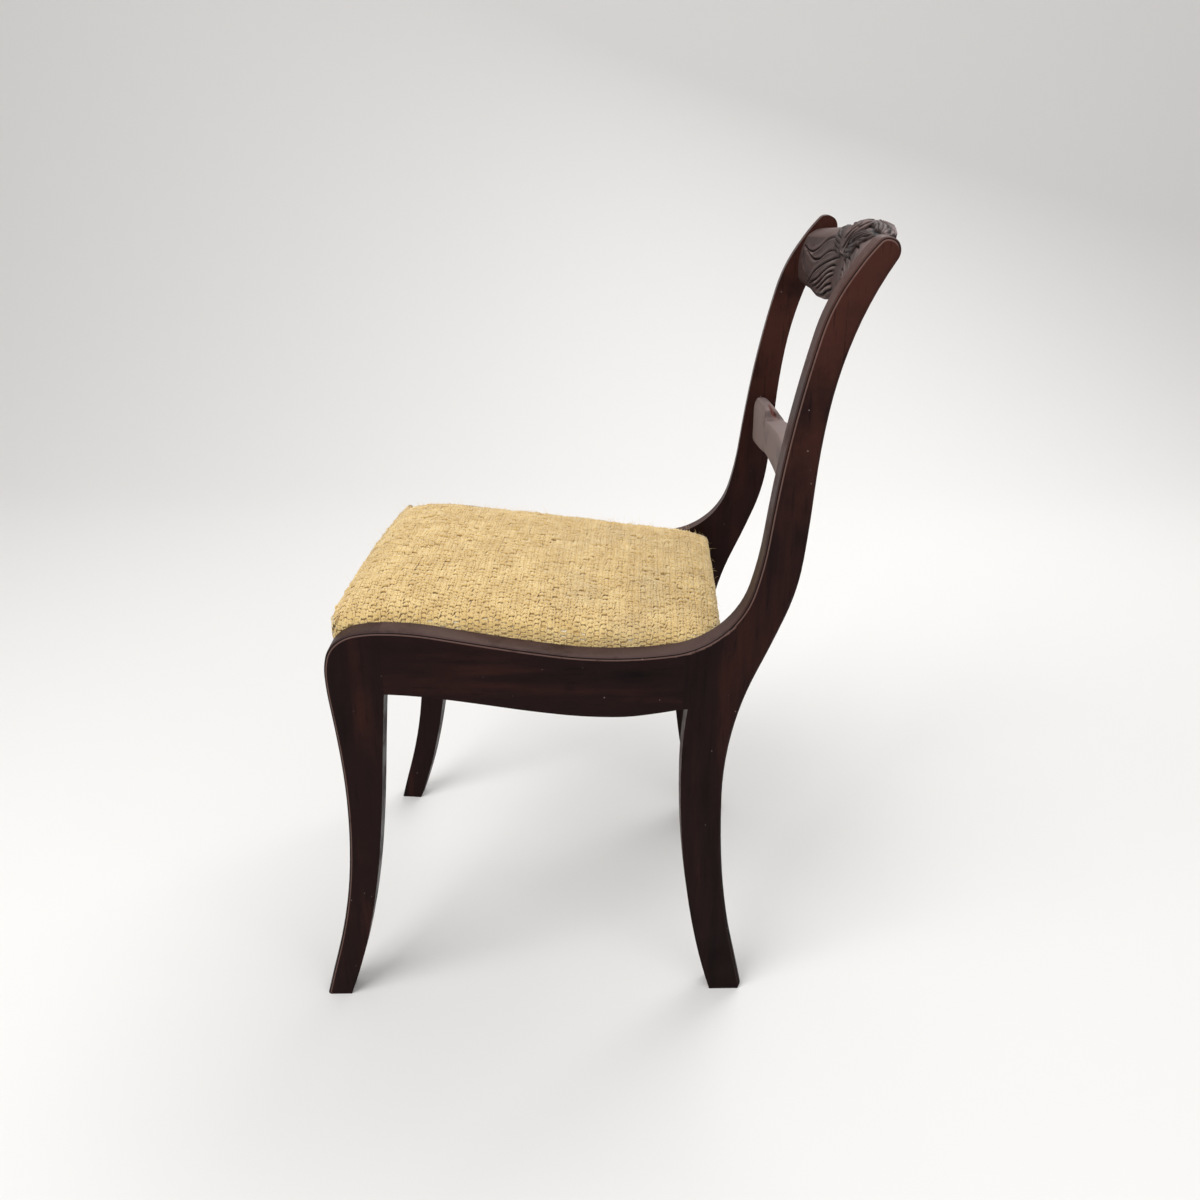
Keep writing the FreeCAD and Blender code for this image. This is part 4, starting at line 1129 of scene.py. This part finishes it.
def workStitches(grid, normals, full):
    # one stitch in every cell of the grid; the work is turned after each row
    shape, faces = stitchShape()
    rows, columns = grid.shape[0] - 1, grid.shape[1] - 1
    cells = rows * columns

    def wobble(middle, spread):
        return rng.normal(middle, spread, (cells, 1))

    def cell(array, dj, di):
        return array[dj:rows + dj, di:columns + di].reshape(cells, 1, -1)

    local = np.repeat(shape[None], cells, axis=0)
    turned = (np.arange(rows) % 2 == 1).repeat(columns)
    local[turned, :, 0] = 1 - local[turned, :, 0]
    for axis, (size, place) in enumerate((crochet["across"], crochet["along"])):
        local[:, :, axis] = 0.5 + (local[:, :, axis] - 0.5) * wobble(1.0, size) + wobble(0, place)
    size, place = crochet["out"]
    local[:, :, 2] = local[:, :, 2] * wobble(1.0, size) + wobble(0, place)
    local[:, :, 0] += wobble(0, crochet["lean"]) * (local[:, :, 1] - 0.5)
    local[turned, :, 0] += 0.5                            # stitches stand between those of the row before
    slack = rng.random(cells) < crochet["slack"]          # here and there a stitch has sunk or opened
    local[slack, :, 2] *= 0.62
    local[slack, :, 0] = 0.5 + (local[slack, :, 0] - 0.5) * 0.8
    a, b = local[:, :, 0:1], local[:, :, 1:2]

    def blend(array):
        return (cell(array, 0, 0) * (1 - a) * (1 - b) + cell(array, 0, 1) * a * (1 - b)
                + cell(array, 1, 0) * (1 - a) * b + cell(array, 1, 1) * a * b)

    normal = blend(normals)
    normal /= np.linalg.norm(normal, axis=2)[:, :, None]
    height = local[:, :, 2:3] * blend(full[:, :, None])
    points = (blend(grid) + normal * (height + crochet["ground"][0])).reshape(-1, 3)
    allFaces = faces[None] + (np.arange(cells) * len(shape))[:, None, None]
    allFaces[turned] = allFaces[turned][:, :, ::-1]
    return points, allFaces.reshape(-1, 4)


def groundShell(grid, normals, full):
    # the matted wool under the stitches, a thin closed layer
    low, high = crochet["ground"]
    upper = grid + normals * (low + (high - low) * full[:, :, None])
    lower = grid + normals * low * 0.2
    count = full.size
    index = np.arange(count).reshape(full.shape)
    top = gridFaces(index)
    rim = np.concatenate([index[0, :], index[1:, -1], index[-1, -2::-1], index[-2:0:-1, 0]])
    after = np.roll(rim, -1)
    sides = np.stack([rim, rim + count, after + count, after], axis=-1)
    faces = np.vstack([top, top[:, ::-1] + count, sides])
    return np.vstack([upper.reshape(-1, 3), lower.reshape(-1, 3)]), faces


def looseFibres(grid, normals):
    # single fibres that stand away from the wool, each a thin tube of three sides
    rows, columns = grid.shape[:2]
    count = fibre["count"]
    j = rng.integers(1, rows - 1, count)
    i = rng.integers(1, columns - 1, count)
    out = normals[j, i]
    beside = rng.normal(0, fibre["scatter"], (count, 3)) * (1 - np.abs(out))
    start = grid[j, i] + beside + out * fibre["root"]
    way = out * np.abs(rng.normal(0.7, 0.4, (count, 1))) + rng.normal(0, 0.7, (count, 3))
    way /= np.linalg.norm(way, axis=1)[:, None]
    curl = rng.normal(0, 0.9, (count, 3))
    long = fibre["short"] + fibre["longer"] * rng.random((count, 1)) ** 2.2
    side = np.cross(way, rng.normal(0, 1, (count, 3)))
    side /= np.linalg.norm(side, axis=1)[:, None]
    other = np.cross(way, side)
    rings = []
    for t, thin in fibre["thinning"]:
        bend = curl * long * fibre["curl"] * t * t - out * long * fibre["droop"] * t ** 3
        middle = start + way * long * t + bend
        for corner in range(3):
            angle = 2 * math.pi * corner / 3
            spoke = math.cos(angle) * side + math.sin(angle) * other
            rings.append(middle + fibre["radius"] * thin * spoke)
    points = np.stack(rings, axis=1).reshape(-1, 3)
    tube = [(3 * k + c, 3 * k + 3 + c, 3 * k + 3 + (c + 1) % 3, 3 * k + (c + 1) % 3)
            for k in range(3) for c in range(3)]
    tube += [(0, 1, 2, 0), (9, 11, 10, 9)]
    faces = np.array(tube)[None] + (np.arange(count) * 12)[:, None, None]
    return points, faces.reshape(-1, 4)


def waver(grid):
    # rows and stitches of hand work are never quite straight
    y, x = grid[:, :, 1], grid[:, :, 0]
    size = crochet["wander"]
    shift = (np.sin(x * 23 + y * 31) + np.sin(x * 47 - y * 17 + 1.3) + np.sin(x * 71 + y * 53 + 0.4)) / 3
    side = (np.sin(y * 39 + x * 13 + 2.0) + np.sin(y * 83 - x * 29)) / 2
    result = grid.copy()
    result[2:-2, :, 1] += (shift * size)[2:-2]
    result[2:-2, :, 0] += (side * size * (np.abs(x) < wallX(y) - 0.02))[2:-2]
    return result


def keptClear(points, clearance=0.0005):
    # between the side frames the wool is squeezed in
    limit = innerX(points[:, 1]) - clearance
    beside = points[:, 2] < railTop(points[:, 1]) + clearance
    over = np.abs(points[:, 0]) > limit
    points[:, 0] = np.where(beside & over, np.sign(points[:, 0]) * limit, points[:, 0])
    return points


def crochetCover():
    grid = coverGrid()
    centre = np.array([0, (coverLow.y + coverHigh.y) / 2, grid[:, :, 2].min() + 0.012])
    main = waver(grid)
    parts = [(rows, gridNormals(rows, rows - centre), fullness(rows))
             for rows in (main, endGrid(grid, -1), endGrid(grid, 1))]
    points, faces, slots, base = [], [], [], 0

    def add(made, slotNumber):
        nonlocal base
        points.append(made[0])
        faces.append(made[1] + base)
        slots.append(np.full(len(made[1]), slotNumber))
        base += len(made[0])

    for rows, normals, full in parts:
        # the ground layer takes the darker back colour, painted shade in the gaps between stitches
        add(groundShell(rows, normals, full), 1)
        add(workStitches(rows, normals, full), 0)
    first, last = topColumns(main)
    add(looseFibres(main[:, first:last], parts[0][1][:, first:last]), 0)
    allPoints = keptClear(bulgedFront(roundedCorners(np.vstack(points))))
    piece = meshPiece("crochetCover", allPoints, np.vstack(faces))
    piece.data.polygons.foreach_set("material_index", np.concatenate(slots))
    editMesh(piece, turnOutward)
    bpy.ops.object.shade_smooth()
    piece.data.materials.append(crochetYarn)
    piece.data.materials.append(crochetBackShaded)
    return piece


coverPiece = crochetCover()
inward = np.empty(len(padPiece.data.vertices) * 3)
padPiece.data.vertex_normals.foreach_get("vector", inward)
movePoints(padPiece, pointsOf(padPiece) - inward.reshape(-1, 3) * pad["tuck"])
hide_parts("seat_cover")
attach(coverPiece, "slip_seat")
print("crochet worked:", len(coverPiece.data.polygons), "faces")


# the cloths under the stuffing
cloths = {
    "burlapSheet": {
        "node": "burlap", "finish": burlapCloth, "slot": "burlap_cloth",
        "flat": (0.388, 0.406), "area": 0.1480,
        "thick": 0.0008, "inset": 0.0012, "steps": 44, "sag": 0.0, "ruck": 0.00008,
    },
    "dustSheet": {
        "node": "dust_cover", "finish": cambric, "slot": "dust_cloth",
        "flat": (0.336, 0.335), "area": 0.1060,
        "thick": 0.0005, "inset": 0.0004, "steps": 72, "sag": 0.0016, "ruck": 0.00030,
    },
}


def stretchedSheet(name, facts):
    # a cloth tacked out flat along the frame, with a little slack between its edges
    low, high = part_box(facts["node"])
    tree = surfaceOf(facts["node"])
    steps = facts["steps"]
    ys = np.linspace(low.y + facts["inset"], high.y - facts["inset"], steps + 1)
    under = hitsAlong(tree, [(0.0, y, low.z - 0.05) for y in ys], (0, 0, 1))
    halves = hitsAlong(tree, [(0.4, y, z + 0.0003) for y, z in zip(ys, under)], (-1, 0, 0))
    halves = np.polyval(np.polyfit(ys, halves, 1), ys) - facts["inset"]
    share = np.linspace(-1, 1, steps + 1)[None]
    down = share.T
    x = share * halves[:, None]
    y = np.repeat(ys[:, None], steps + 1, axis=1)
    slack = (1 - share ** 2) * (1 - down ** 2)
    edge = 1 - smoothStep(0.0, 0.16, 1 - np.maximum(np.abs(share), np.abs(down)))
    pulls = np.sin(x * 240 + y * 60) * np.sin(y * 220 - x * 50) * edge * smoothStep(0.0, 0.02, slack)
    z = under[:, None] - facts["sag"] * slack + facts["ruck"] * pulls
    faces = gridFaces(np.arange((steps + 1) ** 2).reshape(steps + 1, steps + 1))
    piece = meshPiece(name, np.stack([x, y, z], axis=-1).reshape(-1, 3), faces)
    weight = piece.modifiers.new("thickness", "SOLIDIFY")
    weight.thickness = facts["thick"]
    weight.offset = 1
    applyModifiers(piece)
    bpy.ops.object.shade_smooth_by_angle(angle=creaseAngle)
    piece.data.materials.append(facts["finish"])
    return piece


for clothName, facts in cloths.items():
    clothPiece = stretchedSheet(clothName, facts)
    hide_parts(facts["node"])
    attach(clothPiece, "slip_seat")
print("cloths stretched:", len(cloths))


# floor, light and camera
studio = {
    "size": 14.0, "backWall": -3.4, "wallHeight": 6.0, "paper": (0.80, 0.79, 0.78, 1),
    "cove": 1.6, "coveSteps": 24,
    "sky": (1.0, 0.99, 0.98, 1), "skyStrength": 0.55,
}
floorMiddle = studio["size"] / 2 + studio["backWall"]
deselectAll()
bpy.ops.mesh.primitive_plane_add(size=studio["size"], location=(floorMiddle, 0, 0))
floor = bpy.context.object
floor.name = "paperSweep"
bpy.ops.object.transform_apply(location=True, rotation=True, scale=True)
bpy.ops.object.mode_set(mode="EDIT")
bpy.ops.mesh.select_all(action="DESELECT")
bpy.ops.object.mode_set(mode="OBJECT")
for edge in floor.data.edges:
    edge.select = all(abs(floor.data.vertices[v].co.x - studio["backWall"]) < 0.01 for v in edge.vertices)
bpy.ops.object.mode_set(mode="EDIT")
bpy.ops.mesh.select_mode(type="EDGE")
bpy.ops.mesh.extrude_region_move(TRANSFORM_OT_translate={"value": (0, 0, studio["wallHeight"])})
bpy.ops.object.mode_set(mode="OBJECT")
rounding = floor.modifiers.new("cove", "BEVEL")
rounding.width = studio["cove"]
rounding.segments = studio["coveSteps"]
rounding.limit_method = "ANGLE"
applyModifiers(floor)
bpy.ops.object.shade_smooth()
floorMaterial, floorTree = newTree("palePaper")
finishSurface(floorTree, studio["paper"], 0.8, Specular_IOR_Level=0.1)
floor.data.materials.append(floorMaterial)

world = bpy.data.worlds.new("studio")
bpy.context.scene.world = world
world.use_nodes = True
sky = world.node_tree.nodes["Background"]
sky.inputs[0].default_value = studio["sky"]
sky.inputs[1].default_value = studio["skyStrength"]

lights = {
    "key": {"place": (1.6, -1.4, 2.6), "aim": (0, 0, 0.45), "size": 1.8, "power": 56},
    "fill": {"place": (2.4, 1.6, 1.5), "aim": (0, 0, 0.5), "size": 2.2, "power": 20},
    "back": {"place": (-1.8, 0.8, 2.4), "aim": (0, 0, 0.5), "size": 2.0, "power": 40},
}
for lightName, facts in lights.items():
    lamp = bpy.data.lights.new(lightName, "AREA")
    lamp.size = facts["size"]
    lamp.energy = facts["power"]
    holder = bpy.data.objects.new(lightName, lamp)
    holder.location = facts["place"]
    aim = Vector(facts["aim"]) - Vector(facts["place"])
    holder.rotation_euler = aim.to_track_quat("-Z", "Y").to_euler()
    bpy.context.scene.collection.objects.link(holder)

camera = {
    "place": (1.221, 0.0603, 0.911), "forward": (-0.9246, -0.0428, -0.3785), "roll": -0.38,
    "lens": 32.7, "sensor": 36, "near": 0.05, "far": 60,
}
forward = Vector(camera["forward"]).normalized()
right = forward.cross(Vector((0, 0, 1))).normalized()
upward = right.cross(forward)
tilt = math.radians(camera["roll"])
turnedRight = right * math.cos(tilt) + upward * math.sin(tilt)
turnedUp = upward * math.cos(tilt) - right * math.sin(tilt)
lens = bpy.data.cameras.new("photoCamera")
lens.lens = camera["lens"]
lens.sensor_width = camera["sensor"]
lens.clip_start = camera["near"]
lens.clip_end = camera["far"]
cameraHolder = bpy.data.objects.new("photoCamera", lens)
turn = Matrix((turnedRight, turnedUp, -forward)).transposed().to_4x4()
cameraHolder.matrix_world = Matrix.Translation(camera["place"]) @ turn
bpy.context.scene.collection.objects.link(cameraHolder)
bpy.context.scene.camera = cameraHolder
